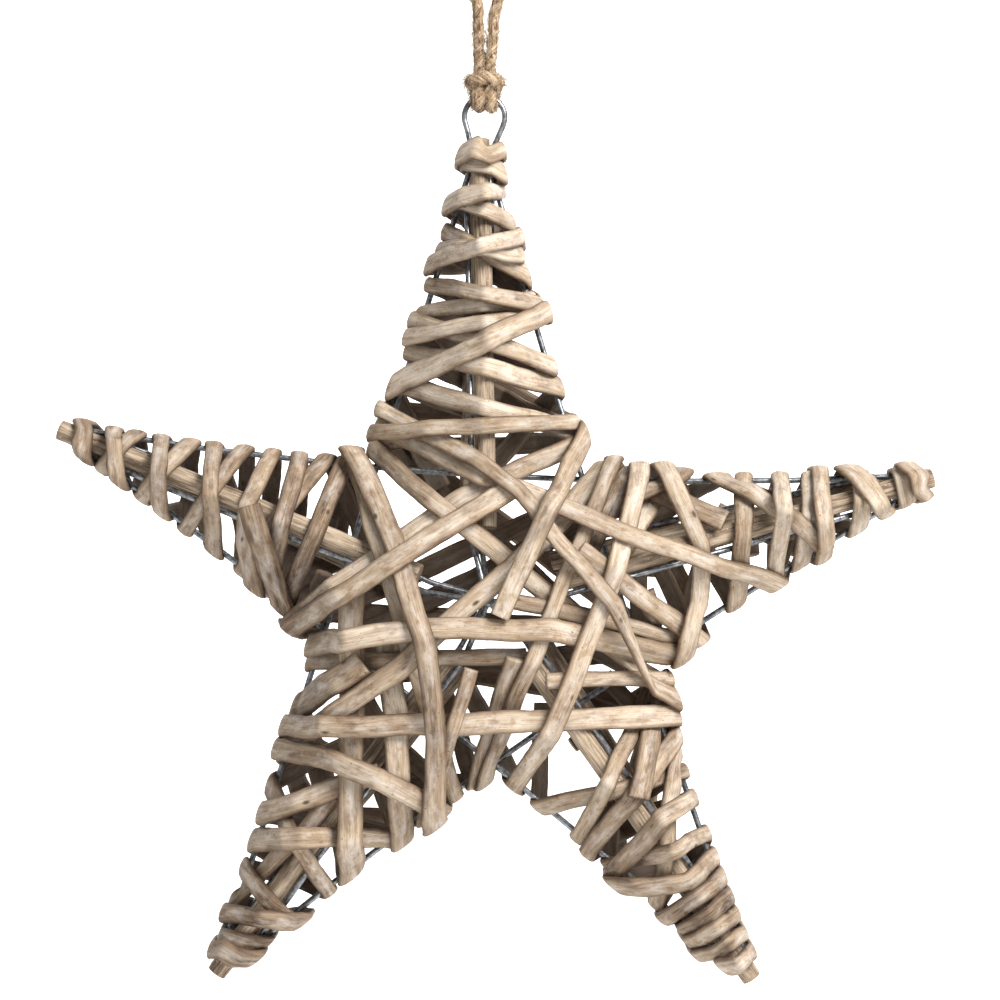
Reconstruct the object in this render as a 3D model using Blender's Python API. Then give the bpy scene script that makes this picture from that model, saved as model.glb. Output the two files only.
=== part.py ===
"""Wicker star ornament: a five-pointed star of wire and willow cane, wrapped in split willow, on a jute loop.

The star hangs in the XZ plane and its front faces -Y. Lengths are in metres, except the distances and widths
of the willow strips, which are whole or tenth millimetres, turned to metres by MM where they are used. The origin
is the point that the hanging loop rests on, and the star's middle is STAR_DROP below it.
"""

import math

import bmesh
import bpy
import numpy as np
from mathutils import Vector

MM = 0.001

# The star
STAR_DROP = 0.2226
TIP_RADIUS = 0.158
HUB_DEPTH = 0.034
CLEARANCE = 0.0003
LAYING_GAP = 0.0004

# The galvanised wire
WIRE_DIAMETER = 0.002
WIRE_TIP_INSET = 0.004
TIP_BEND_RADIUS = 0.0026
WIRE_BOWS = {"top": 0.003, "low_right": 0.0032, "left": 0.0078, "right": 0.0052, "low_left": 0.0003}

# Where a run of the star wire crosses the next one, as a share of its length
CROSSING = 0.382
CROSSING_TOP = 0.035
CROSSING_END = 0.09

# The hanging eye at the top of the star wire
EYE_RADIUS = 0.0071
EYE_CENTRE = (-0.0012, 0.1662)
EYE_NECK = ((-0.0063, 0.1580), (0.0029, 0.1580))
EYE_OPEN_ANGLE = 30.0

# The willow canes along the ridges, and the ribs of wire beside them
CANE_DIAMETER = 0.007
CANE_HUB_GAP = 0.025
BACK_CANE_SHIFT = 0.0080
RIB_TIP_INSET = 0.018
RIB_HUB_BEND = 0.020
HUB_BALL_RADIUS = 0.0021

# The willow strips
STRIP_THICKNESS = 0.0014
TAIL_LENGTH = 0.034
CROWN_SHARE = 0.16

# The jute loop and its knot
TWINE_DIAMETER = 0.0034
LOOP_RADIUS = 0.0068
STRAND_SPACING = 0.0036
STRAND_SPREAD = 0.052
KNOT_TOP = 0.1816
KNOT_TUCK = 0.0024

ARMS = ("top", "left", "low_left", "low_right", "right")
ARM_ANGLES = {"top": 91.0, "left": 158.3, "low_left": 233.9, "low_right": 304.9, "right": 375.4}
CLOCKWISE, COUNTER = 0, 1
SIDES = {
    "top": {"right": CLOCKWISE, "left": COUNTER},
    "left": {"upper": CLOCKWISE, "lower": COUNTER},
    "low_left": {"upper": CLOCKWISE, "lower": COUNTER},
    "low_right": {"lower": CLOCKWISE, "upper": COUNTER},
    "right": {"lower": CLOCKWISE, "upper": COUNTER},
}
RIB_SIDES = {"top": 1, "left": 1, "low_left": 1, "low_right": 1, "right": -1}
FRONT, BACK = 0, 1
FACING = {FRONT: -1.0, BACK: 1.0}

# The strips, innermost first. Each row is a name, a width, the folds in order, and options. A fold is an arm, a
# side of it and the distance from that arm's tip in millimetres. The stretch after the first fold lies in front,
# the next behind, and so on. "sway" bends a front stretch to the left of its way, "cut_start" and "cut_end" leave
# out that share of the first or last stretch, whose outer fold then only gives its direction. "tail" is the length
# of the tucked ends behind, in millimetres, where it isn't TAIL_LENGTH.


def arm_strip(name, width, arm, first, second, turns, **options):
    """A strip that winds round one arm: each turn gives its fold on the first side and on the second."""
    folds = []
    for a, b in turns:
        folds += [(arm, first, a), (arm, second, b)]
    return (name, width, folds, options)


STRIPS = [
    arm_strip("left_arm_strip_under", 5.8, "left", "upper", "lower", [(91, 78), (63, 54), (44, 36), (25, 19)]),
    arm_strip("left_arm_strip_neck", 6.4, "left", "upper", "lower", [(97, 98), (82, 92)]),
    arm_strip(
        "left_arm_strip_middle", 5.9, "left", "upper", "lower", [(73, 86), (52, 67), (34, 44)], sway={0: -5}, tail=20
    ),
    arm_strip("left_arm_strip_tip", 5.8, "left", "upper", "lower", [(18, 27), (7, 13)], tail=9),
    arm_strip("right_arm_strip_under", 6.2, "right", "upper", "lower", [(41, 54), (24, 31)]),
    (
        "right_arm_strip_neck",
        6.6,
        [("right", "upper", 64), ("right", "lower", 80), ("right", "upper", 88), ("low_left", "lower", 100)],
        {"cut_end": 0.66},
    ),
    arm_strip("right_arm_strip_slanted", 6.5, "right", "upper", "lower", [(71, 43), (28, 19)], sway={0: 2}),
    arm_strip("right_arm_strip_upright", 6.2, "right", "upper", "lower", [(51, 63), (38, 46)]),
    arm_strip("right_arm_strip_tip", 5.8, "right", "upper", "lower", [(11, 14), (8, 5)], tail=9),
    arm_strip("top_arm_strip_neck", 6.7, "top", "left", "right", [(88, 105), (76, 89)]),
    arm_strip("top_arm_strip_under", 5.7, "top", "left", "right", [(63, 57), (65, 82), (70, 60)]),
    arm_strip("top_arm_strip_falling", 5.8, "top", "left", "right", [(52, 60), (33, 49), (22, 30)]),
    arm_strip("top_arm_strip_rising", 5.8, "top", "left", "right", [(38, 42), (46, 35), (25, 18)]),
    arm_strip("top_arm_strip_broad", 7.2, "top", "left", "right", [(90, 63)]),
    arm_strip("top_arm_strip_tip", 6.2, "top", "left", "right", [(8, 12), (7.5, 5)]),
    (
        "low_left_arm_strip_under",
        5.8,
        [
            ("right", "upper", 104),
            ("low_left", "upper", 24),
            ("low_left", "lower", 30),
            ("low_left", "upper", 37),
            ("low_left", "lower", 46),
            ("low_left", "upper", 66),
        ],
        {"cut_start": 0.74},
    ),
    (
        "low_left_arm_strip_neck",
        7.4,
        [
            ("low_left", "upper", 46),
            ("low_left", "lower", 76),
            ("low_left", "upper", 57),
            ("low_right", "upper", 108),
        ],
        {"cut_end": 0.70, "sway": {0: 3}},
    ),
    arm_strip(
        "low_left_arm_strip_tip", 6.4, "low_left", "upper", "lower", [(19.5, 34), (13, 19), (6.8, 12.5)], tail=9
    ),
    (
        "low_right_arm_strip_under",
        5.8,
        [
            ("low_right", "lower", 93),
            ("low_right", "upper", 74),
            ("low_right", "lower", 76),
            ("low_right", "upper", 106),
        ],
        {},
    ),
    arm_strip("low_right_arm_strip_upright", 5.8, "low_right", "upper", "lower", [(80, 40), (51, 62)]),
    arm_strip(
        "low_right_arm_strip_broad",
        6.8,
        "low_right",
        "upper",
        "lower",
        [(87, 70), (64, 58), (45, 56)],
        sway={2: -4, 4: 4},
    ),
    arm_strip("low_right_arm_strip_middle", 6.3, "low_right", "upper", "lower", [(38.5, 36), (31, 30)], tail=18),
    arm_strip(
        "low_right_arm_strip_tip", 5.6, "low_right", "upper", "lower", [(24, 24.5), (16.5, 19), (8, 13)], tail=9
    ),
    (
        "back_strip_crosswise",
        7.2,
        [("top", "left", 100), ("left", "lower", 104), ("right", "upper", 104)],
        {"cut_start": 0.78},
    ),
    (
        "back_strip_falling",
        7.6,
        [("right", "upper", 109), ("top", "left", 109), ("low_right", "upper", 104)],
        {"cut_start": 0.80},
    ),
    (
        "back_strip_rising",
        7.0,
        [("left", "lower", 104), ("right", "upper", 86), ("low_left", "upper", 112)],
        {"cut_start": 0.80, "cut_end": 0.12},
    ),
    (
        "back_strip_slanted",
        8.0,
        [("low_right", "upper", 108), ("right", "lower", 103), ("left", "lower", 98)],
        {"cut_start": 0.80},
    ),
    (
        "back_strip_low",
        7.4,
        [("top", "right", 84), ("right", "lower", 108), ("low_left", "upper", 104)],
        {"cut_start": 0.80, "cut_end": 0.12},
    ),
    (
        "back_strip_upright",
        7.0,
        [("low_left", "lower", 110), ("right", "upper", 104), ("low_right", "upper", 104)],
        {"cut_start": 0.75, "cut_end": 0.12},
    ),
    (
        "body_strip_low_uprights",
        8.4,
        [("top", "left", 114), ("low_left", "lower", 77), ("left", "lower", 110)],
        {"cut_start": 0.45, "cut_end": 0.50},
    ),
    (
        "body_strip_low_crosswise",
        5.8,
        [("right", "lower", 107), ("low_left", "upper", 110), ("top", "right", 110)],
        {"cut_start": 0.40, "cut_end": 0.80},
    ),
    (
        "body_strip_far_upright",
        9.0,
        [
            ("left", "upper", 101),
            ("low_left", "lower", 56),
            ("low_left", "upper", 94),
            ("right", "upper", 108),
        ],
        {"cut_start": 0.30, "cut_end": 0.80},
    ),
    (
        "body_strip_crossed_under",
        6.8,
        [("left", "lower", 103), ("top", "right", 109), ("top", "left", 113), ("low_right", "upper", 103)],
        {"sway": {0: 5}},
    ),
    (
        "body_strip_inner_uprights",
        6.4,
        [
            ("top", "right", 112),
            ("low_left", "lower", 109),
            ("left", "upper", 102),
            ("low_left", "lower", 103),
        ],
        {"cut_start": 0.62},
    ),
    ("body_strip_long_slant", 7.4, [("right", "upper", 110), ("low_left", "upper", 79)], {"sway": {0: 5}}),
    (
        "body_strip_cut_end",
        5.6,
        [("left", "lower", 55), ("right", "lower", 98), ("right", "upper", 108.5), ("low_left", "lower", 111)],
        {"cut_start": 0.65},
    ),
    (
        "body_strip_two_levels",
        7.8,
        [
            ("low_left", "upper", 87),
            ("low_right", "upper", 96),
            ("low_left", "upper", 117),
            ("right", "lower", 106),
        ],
        {"sway": {2: 8}},
    ),
    (
        "body_strip_short_right",
        5.4,
        [("low_left", "upper", 104), ("low_right", "upper", 106)],
        {"cut_start": 0.70},
    ),
    ("body_strip_short_left", 5.4, [("low_left", "lower", 87.5), ("top", "right", 90)], {"cut_end": 0.66}),
    (
        "body_strip_right_upright",
        6.9,
        [
            ("top", "left", 98),
            ("right", "lower", 96),
            ("right", "upper", 100),
            ("low_right", "lower", 104),
            ("left", "upper", 100),
        ],
        {"cut_start": 0.62, "cut_end": 0.72, "sway": {2: 6}},
    ),
    (
        "body_strip_right_crosswise",
        6.5,
        [("right", "upper", 95), ("right", "lower", 109), ("top", "left", 105), ("right", "lower", 63)],
        {"sway": {0: 7, 2: -2.5}},
    ),
    (
        "body_strip_low_slant",
        7.6,
        [("low_left", "upper", 79), ("low_left", "lower", 94)],
        {"sway": {0: 4}},
    ),
    (
        "body_strip_tall_left",
        7.4,
        [("left", "upper", 107), ("low_left", "lower", 89), ("left", "lower", 103), ("top", "right", 110)],
        {"cut_end": 0.22, "sway": {0: 9}},
    ),
    (
        "body_strip_long_falling",
        5.8,
        [("low_right", "upper", 101), ("top", "left", 98), ("top", "right", 104), ("top", "left", 107)],
        {"sway": {0: -14}},
    ),
    (
        "body_strip_top_right",
        6.6,
        [("top", "right", 106), ("low_left", "lower", 88)],
        {"cut_end": 0.55, "sway": {0: -2.5}},
    ),
]

# Fixed figures of the modelling
FOLD_CORNER_OUT = math.cos(math.radians(30))
FOLD_CORNER_UP = math.sin(math.radians(30))
MAP_CELL = 0.0005
MAP_REACH = TIP_RADIUS + TAIL_LENGTH / 2
EMPTY = -1.0
STEEPEST = 1.1
LEAST_INWARD = 0.25
MOST_TAIL_SHARE = 0.7
SAMPLES = 41
FITTING_ROUNDS = 80
FITTING_STEP = 0.7
FITTED_WITHIN = 0.00002
MARKS_PER_CELL = 1.6
NEAREST_SIDE = 0.002
SKEWED_WIDTHS = 1.5
SETTLE_STEPS = 6
SETTLE_PULL = 0.5
MOST_TILT = 0.55
STATION_FIT = 0.0032
MOST_STATIONS = 5
LONG_STRETCH = 0.57 * TIP_RADIUS
LAST_BEND_SHARE = 0.85
SLOPE_STEP = 0.002
FARTHEST_STEPS = 60
SHARPEST_JOIN = 0.8
CORNER_DROP = 0.001
FAR_FOLDS = np.arange(0.008, 0.112, 0.002)
WRONG_WAY = 10
FLARE_RADII = 2.1
SMOOTH_UP_TO = math.radians(40)


def rgba(hex_colour):
    """The linear colour of an sRGB hex value."""
    channels = [int(hex_colour[i : i + 2], 16) / 255 for i in (0, 2, 4)]
    return [c / 12.92 if c <= 0.04045 else ((c + 0.055) / 1.055) ** 2.4 for c in channels] + [1.0]


def material(name, hex_colour, roughness, metallic=0.0):
    """A plain Principled material."""
    made = bpy.data.materials.new(name)
    made.use_nodes = True
    shader = made.node_tree.nodes["Principled BSDF"]
    shader.inputs["Base Color"].default_value = rgba(hex_colour)
    shader.inputs["Roughness"].default_value = roughness
    shader.inputs["Metallic"].default_value = metallic
    return made


def unit(v):
    return v / max(np.linalg.norm(v), 1e-12)


def across(v):
    """The direction a quarter turn to the left of a direction in the star's plane."""
    return np.array([-v[1], v[0]])


def arm_direction(arm):
    angle = math.radians(ARM_ANGLES[arm])
    return np.array([math.cos(angle), math.sin(angle)])


def to_world(plan, depth):
    """A point of the star's plane, (x, z) from its middle, with its depth, in the part's own frame."""
    return (float(plan[0]), float(depth), float(plan[1] - STAR_DROP))


def line_ends(number):
    """The ends of one straight run of the star wire, which leaves an arm on its clockwise side."""
    start, end = ARMS[number], ARMS[(number + 3) % 5]
    ends = []
    for arm, side in ((start, -1), (end, 1)):
        out = arm_direction(arm)
        reach = TIP_RADIUS - WIRE_TIP_INSET - TIP_BEND_RADIUS
        ends.append(out * reach + across(out) * side * TIP_BEND_RADIUS)
    return ends


def line_point(number, share):
    """A point on a run of the star wire, bowed towards the middle of the star by the strips' pull."""
    start, end = line_ends(number)
    bow = WIRE_BOWS[ARMS[number]] * 4 * share * (1 - share)
    inward = across(unit(end - start))
    if inward @ (start + end) > 0:
        inward = -inward
    return start + (end - start) * share + inward * bow


def side_point(arm, side, distance):
    """Where a side of an arm lies at a distance from the tip, with the way round the star and the way out."""
    number = ARMS.index(arm) if side == CLOCKWISE else (ARMS.index(arm) + 2) % 5
    start, end = line_ends(number)
    long = np.linalg.norm(end - start)
    share = (distance - WIRE_TIP_INSET - TIP_BEND_RADIUS) / long
    step = SLOPE_STEP / long
    if side == COUNTER:
        share, step = 1 - share, -step
    place = line_point(number, share)
    inward_along = unit(line_point(number, share + step) - place)
    way = -inward_along if side == CLOCKWISE else inward_along
    return place, way, np.array([way[1], -way[0]])


def wire_depth(share):
    """The wire passes in front of the first run that it crosses and behind the second."""
    lift = WIRE_DIAMETER / 2 + CLEARANCE
    first = min(1.0, max(0.0, (CROSSING_END - abs(share - CROSSING)) / (CROSSING_END - CROSSING_TOP)))
    second = min(1.0, max(0.0, (CROSSING_END - abs(1 - share - CROSSING)) / (CROSSING_END - CROSSING_TOP)))
    return lift * (second - first)


def run_shares():
    """The shares of a run at which the star wire has a point."""
    near = [CROSSING + step for step in (-CROSSING_END, -CROSSING_TOP, CROSSING_TOP, CROSSING_END)]
    return [0.0, CROSSING / 2 - CROSSING_TOP] + near + [1 - share for share in near[::-1]] + [LAST_BEND_SHARE, 1.0]


def star_wire_route():
    """Points of the star wire as (x, z, depth): five runs, four bent tips and the hanging eye."""
    route = []
    for step in range(5):
        number = step * 3 % 5
        start, end = line_ends(number)
        for share in run_shares():
            route.append((*line_point(number, share), wire_depth(share)))
        arm = ARMS[(number + 3) % 5]
        if arm == "top":
            route += eye_route()
            continue
        out = arm_direction(arm)
        middle = out * (TIP_RADIUS - WIRE_TIP_INSET - TIP_BEND_RADIUS)
        for turn in (45, 90, 135):
            angle = math.radians(turn)
            bend = across(out) * math.cos(angle) + out * math.sin(angle)
            route.append((*(middle + bend * TIP_BEND_RADIUS), 0.0))
    return route


def eye_route():
    """The two top wires run on side by side, spread past the cane ends and close into a ring."""
    middle = np.array(EYE_CENTRE)
    points = [(*EYE_NECK[0], 0.0)]
    for turn in np.linspace(180 + EYE_OPEN_ANGLE, -EYE_OPEN_ANGLE, 13):
        angle = math.radians(turn)
        ring = np.array([math.cos(angle), math.sin(angle)])
        points.append((*(middle + ring * EYE_RADIUS), 0.0))
    points.append((*EYE_NECK[1], 0.0))
    return points


def ridge_point(arm, face, distance):
    """The middle of the cane, or of its line to the hub, at a distance from the star's middle."""
    out = arm_direction(arm)
    tip_depth = (CANE_DIAMETER + WIRE_DIAMETER) / 2 + CLEARANCE
    share = distance / TIP_RADIUS
    depth = tip_depth * share + HUB_DEPTH * (1 - share)
    shift = across(out) * (BACK_CANE_SHIFT * (1 - share) if face == BACK else 0.0)
    return out * distance + shift, depth * FACING[face]


def rib_route(arm, face):
    """One rib: beside the cane from near the tip, then in to the hub."""
    out = arm_direction(arm)
    beside = (CANE_DIAMETER + WIRE_DIAMETER) / 2 + CLEARANCE
    turn = RIB_SIDES[arm] if face == FRONT else -RIB_SIDES[arm]
    route = []
    for distance in (TIP_RADIUS - RIB_TIP_INSET, TIP_RADIUS / 2, RIB_HUB_BEND):
        place, depth = ridge_point(arm, face, distance)
        route.append((*(place + across(out) * turn * beside), depth))
    short = np.array([route[-1][0], route[-1][1]])
    route.append((*(short * HUB_BALL_RADIUS / 2 / np.linalg.norm(short)), HUB_DEPTH * FACING[face]))
    return route


class Relief:
    """How far the work already laid stands out on one face, on a square grid over the star."""

    def __init__(self, face):
        self.face = face
        self.cells = int(2 * MAP_REACH / MAP_CELL)
        self.height = np.full((self.cells, self.cells), EMPTY)

    def index(self, plan):
        return np.clip(((plan + MAP_REACH) / MAP_CELL).astype(int), 1, self.cells - 2)

    def read(self, plan):
        i = self.index(plan)
        return self.height[i[..., 0], i[..., 1]]

    def write(self, plan, height):
        i = self.index(plan.reshape(-1, 2))
        for dx in (-1, 0, 1):
            for dz in (-1, 0, 1):
                np.maximum.at(self.height, (i[:, 0] + dx, i[:, 1] + dz), height.reshape(-1))


def write_tube(reliefs, route, radius):
    """Marks a round bar on both faces."""
    for a, b in zip(route[:-1], route[1:]):
        a, b = np.array(a), np.array(b)
        along = np.linspace(0, 1, max(2, int(np.linalg.norm(b - a) / MAP_CELL * 1.5)))
        middle = a + (b - a) * along[:, None]
        side = across(unit((b - a)[:2]))
        for offset in np.linspace(-1, 1, max(5, int(radius / MAP_CELL * 3))):
            rise = radius * math.sqrt(1 - offset**2)
            plan = middle[:, :2] + side * offset * radius
            for face, relief in reliefs.items():
                relief.write(plan, middle[:, 2] * FACING[face] + rise)


def notch_distance(arm, side):
    """How far from an arm's tip its side meets the next arm's side."""
    step = 1 if side == COUNTER else -1
    other = ARMS[(ARMS.index(arm) + step) % 5]
    low, high = TIP_RADIUS / 2, TIP_RADIUS
    for _ in range(16):
        middle = (low + high) / 2
        place, _, _ = side_point(arm, side, middle)
        there, _, out = side_point(other, 1 - side, middle)
        if (place - there) @ out > 0:
            low = middle
        else:
            high = middle
    return low


class Fold:
    """One fold over a side of the star: its place, its way round, its way out and how far out it stands."""

    def __init__(self, arm, side, distance):
        self.key = (arm, SIDES[arm][side])
        self.notch = notch_distance(*self.key)
        self.stand = 0.0
        self.move(distance * MM)

    def move(self, distance):
        self.distance = distance
        self.place, self.way, self.out = side_point(*self.key, distance)


def eye_leg_side(side, place):
    """How far from the ridge the outside of the eye's leg is, level with a point near the top tip."""
    out = arm_direction("top")
    neck = np.array(EYE_NECK[1 if side == CLOCKWISE else 0])
    run_end = TIP_RADIUS - WIRE_TIP_INSET - TIP_BEND_RADIUS
    spread = abs(neck @ across(out))
    return np.interp(place @ out, [run_end, neck @ out], [TIP_BEND_RADIUS, spread]) + WIRE_DIAMETER / 2


def bare_side(arm, side):
    """How far the wire, or a cane near the tip, stands out from the line of a side, all along it."""
    bare = []
    for distance in np.arange(0.0, TIP_RADIUS, MAP_CELL):
        place, _, _ = side_point(arm, side, distance)
        from_ridge = abs(place @ across(arm_direction(arm)))
        cane_side = CANE_DIAMETER / 2 + BACK_CANE_SHIFT * distance / TIP_RADIUS - from_ridge
        stands = max(WIRE_DIAMETER / 2, cane_side)
        if arm == "top":
            stands = max(stands, eye_leg_side(side, place) - from_ridge)
        bare.append(stands / FOLD_CORNER_OUT)
    return np.array(bare)


def fold_block(fold, half_long):
    """The outline of the room that a fold takes up outside its wire."""
    reach = fold.stand * FOLD_CORNER_OUT + (STRIP_THICKNESS + LAYING_GAP) / 2
    along, out = fold.way * half_long, fold.out * reach
    return np.array([fold.place - along, fold.place + along, fold.place + along + out, fold.place - along + out])


def apart(one, other):
    """Whether two four-sided outlines keep clear of each other."""
    for outline in (one, other):
        for i in range(4):
            axis = across(outline[(i + 1) % 4] - outline[i])
            a, b = one @ axis, other @ axis
            if a.max() < b.min() or b.max() < a.min():
                return True
    return False


def pile_up(piles, fold, half_long):
    """Settles a fold: a little along the wire where that lets it lie lower, on top of the folds already there.

    A fold that would meet one on the far side of the notch is moved further towards the tip.
    """
    pile, blocks = piles.setdefault(fold.key, (bare_side(*fold.key), []))
    arm, side = fold.key
    next_arm = ARMS[(ARMS.index(arm) + (1 if side == COUNTER else -1)) % 5]
    others = piles.get((next_arm, 1 - side), (None, []))[1]
    wanted = fold.distance
    best = None
    for step in range(SETTLE_STEPS, -FARTHEST_STEPS, -1):
        if best is not None and step < -SETTLE_STEPS:
            break
        fold.move(wanted + step * MAP_CELL)
        first = max(0, int((fold.distance - half_long) / MAP_CELL))
        last = min(len(pile), int((fold.distance + half_long) / MAP_CELL) + 1)
        fold.stand = pile[first:last].max() + (LAYING_GAP + STRIP_THICKNESS / 2) / FOLD_CORNER_OUT
        block = fold_block(fold, half_long)
        clear = fold.notch - fold.distance - half_long > WIRE_DIAMETER
        if not clear or not all(apart(block, other) for other in others):
            continue
        cost = fold.stand + SETTLE_PULL * abs(step) * MAP_CELL
        if best is None or cost < best[0]:
            best = (cost, fold.distance, fold.stand, first, last, block)
    _, distance, stand, first, last, block = best
    fold.move(distance)
    fold.stand = stand
    blocks.append(block)
    pile[first:last] = stand + STRIP_THICKNESS / 2 / FOLD_CORNER_OUT


def patch_heights(corners, u, w):
    """The lower and the higher of the two ways in which a twisted four-sided patch can be folded into triangles."""
    near_a, near_b, far_a, far_b = corners
    left = near_a * (1 - u) + far_a * (u - w) + far_b * w
    right = near_a * (1 - w) + near_b * (w - u) + far_b * u
    one = np.where(u >= w, left, right)
    near = near_a * (1 - u - w) + far_a * u + near_b * w
    far = far_b * (u + w - 1) + near_b * (1 - u) + far_a * (1 - w)
    other = np.where(u + w <= 1, near, far)
    return np.minimum(one, other), np.maximum(one, other)


def upper_hull(along, height):
    """The taut line over a row of heights."""
    keep = []
    for i in range(len(along)):
        while len(keep) > 1:
            a, b = keep[-2], keep[-1]
            turn = (along[b] - along[a]) * (height[i] - height[a])
            turn -= (height[b] - height[a]) * (along[i] - along[a])
            if turn < 0:
                break
            keep.pop()
        keep.append(i)
    return np.interp(along, along[keep], height[keep])


def chosen_stations(curve, within, most):
    """The points of a curve that keep its shape to within a distance, ends included."""
    keep = [0, len(curve) - 1]
    while len(keep) < most:
        worst, place = within, None
        for a, b in zip(keep[:-1], keep[1:]):
            if b - a < 2:
                continue
            share = np.linspace(0, 1, b - a + 1)[1:-1, None]
            straight = curve[a] + (curve[b] - curve[a]) * share
            off = np.linalg.norm(curve[a + 1 : b] - straight, axis=1)
            if off.max() > worst:
                worst, place = off.max(), a + 1 + int(off.argmax())
        if place is None:
            break
        keep = sorted(keep + [place])
    return keep


def section_normals(edge_a, edge_b, facing):
    """The outward direction at each station, long enough to keep the strip's thickness at a bend."""
    middle = (edge_a + edge_b) / 2
    wide = edge_b - edge_a
    step = np.diff(middle, axis=0)
    normals = np.cross(step, wide[:-1] + wide[1:])
    normals /= np.maximum(np.linalg.norm(normals, axis=1), 1e-12)[:, None]
    before = np.vstack([normals[:1], normals])
    after = np.vstack([normals, normals[-1:]])
    joined = before + after
    joined /= np.maximum(np.linalg.norm(joined, axis=1), 1e-12)[:, None]
    joined /= np.maximum((joined * before).sum(axis=1), SHARPEST_JOIN)[:, None]
    return joined * facing


def bulge_of(start, end, sway):
    """How far the middle of a stretch lies to the left of its straight way."""
    return across(unit(end.place - start.place)) * sway


def lean_of(fold, other, bulge):
    """How far a strip moves along the wire for each step that it goes in from a fold."""
    toward = unit(other.place - fold.place + 4 * bulge)
    slope = toward @ fold.way / max(-(toward @ fold.out), LEAST_INWARD)
    return max(-STEEPEST, min(STEEPEST, slope))


class Stretch:
    """One stretch of a strip on one face, from fold to fold or to a cut end."""

    def __init__(self, start, end, face, halves, width, sway, first, last, turn):
        self.face = face
        bulge = bulge_of(start, end, sway)
        (start_a, start_b), self.start_corner = fold_lines(start, end, bulge, halves[0] * turn)
        (end_a, end_b), self.end_corner = fold_lines(end, start, bulge, -halves[1] * turn)
        along = np.linspace(0, 1, SAMPLES)[:, None]
        middle = (start_a + start_b) / 2 * (1 - along) + (end_a + end_b) / 2 * along
        middle = middle + bulge * 4 * along * (1 - along)
        slope = np.gradient(middle, axis=0)
        square = np.column_stack([-slope[:, 1], slope[:, 0]])
        square *= width / 2 / np.linalg.norm(square, axis=1)[:, None]
        if square[0] @ (start_a - start_b) < 0:
            square = -square
        run = np.concatenate([[0], np.cumsum(np.linalg.norm(np.diff(middle, axis=0), axis=1))])
        skewed = min(SKEWED_WIDTHS * width, run[-1] / 2)
        near_start = np.clip(1 - run / skewed, 0, 1)[:, None]
        near_end = np.clip(1 - (run[-1] - run) / skewed, 0, 1)[:, None]
        half = square * (1 - near_start - near_end)
        half = half + near_start * (start_a - start_b) / 2 + near_end * (end_a - end_b) / 2
        self.plan_a, self.plan_b = middle + half, middle - half
        self.first, self.last = int(round(first * (SAMPLES - 1))), int(round(last * (SAMPLES - 1)))


def fold_lines(fold, other, bulge, half):
    """The plan of a fold's top line and of its corner line, edge a first."""
    out = fold.stand * FOLD_CORNER_OUT
    top = fold.place + fold.way * lean_of(fold, other, bulge) * out
    corner = fold.place + fold.out * out
    edge = fold.way * half
    return np.array([top + edge, top - edge]), np.array([corner + edge, corner - edge])


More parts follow.
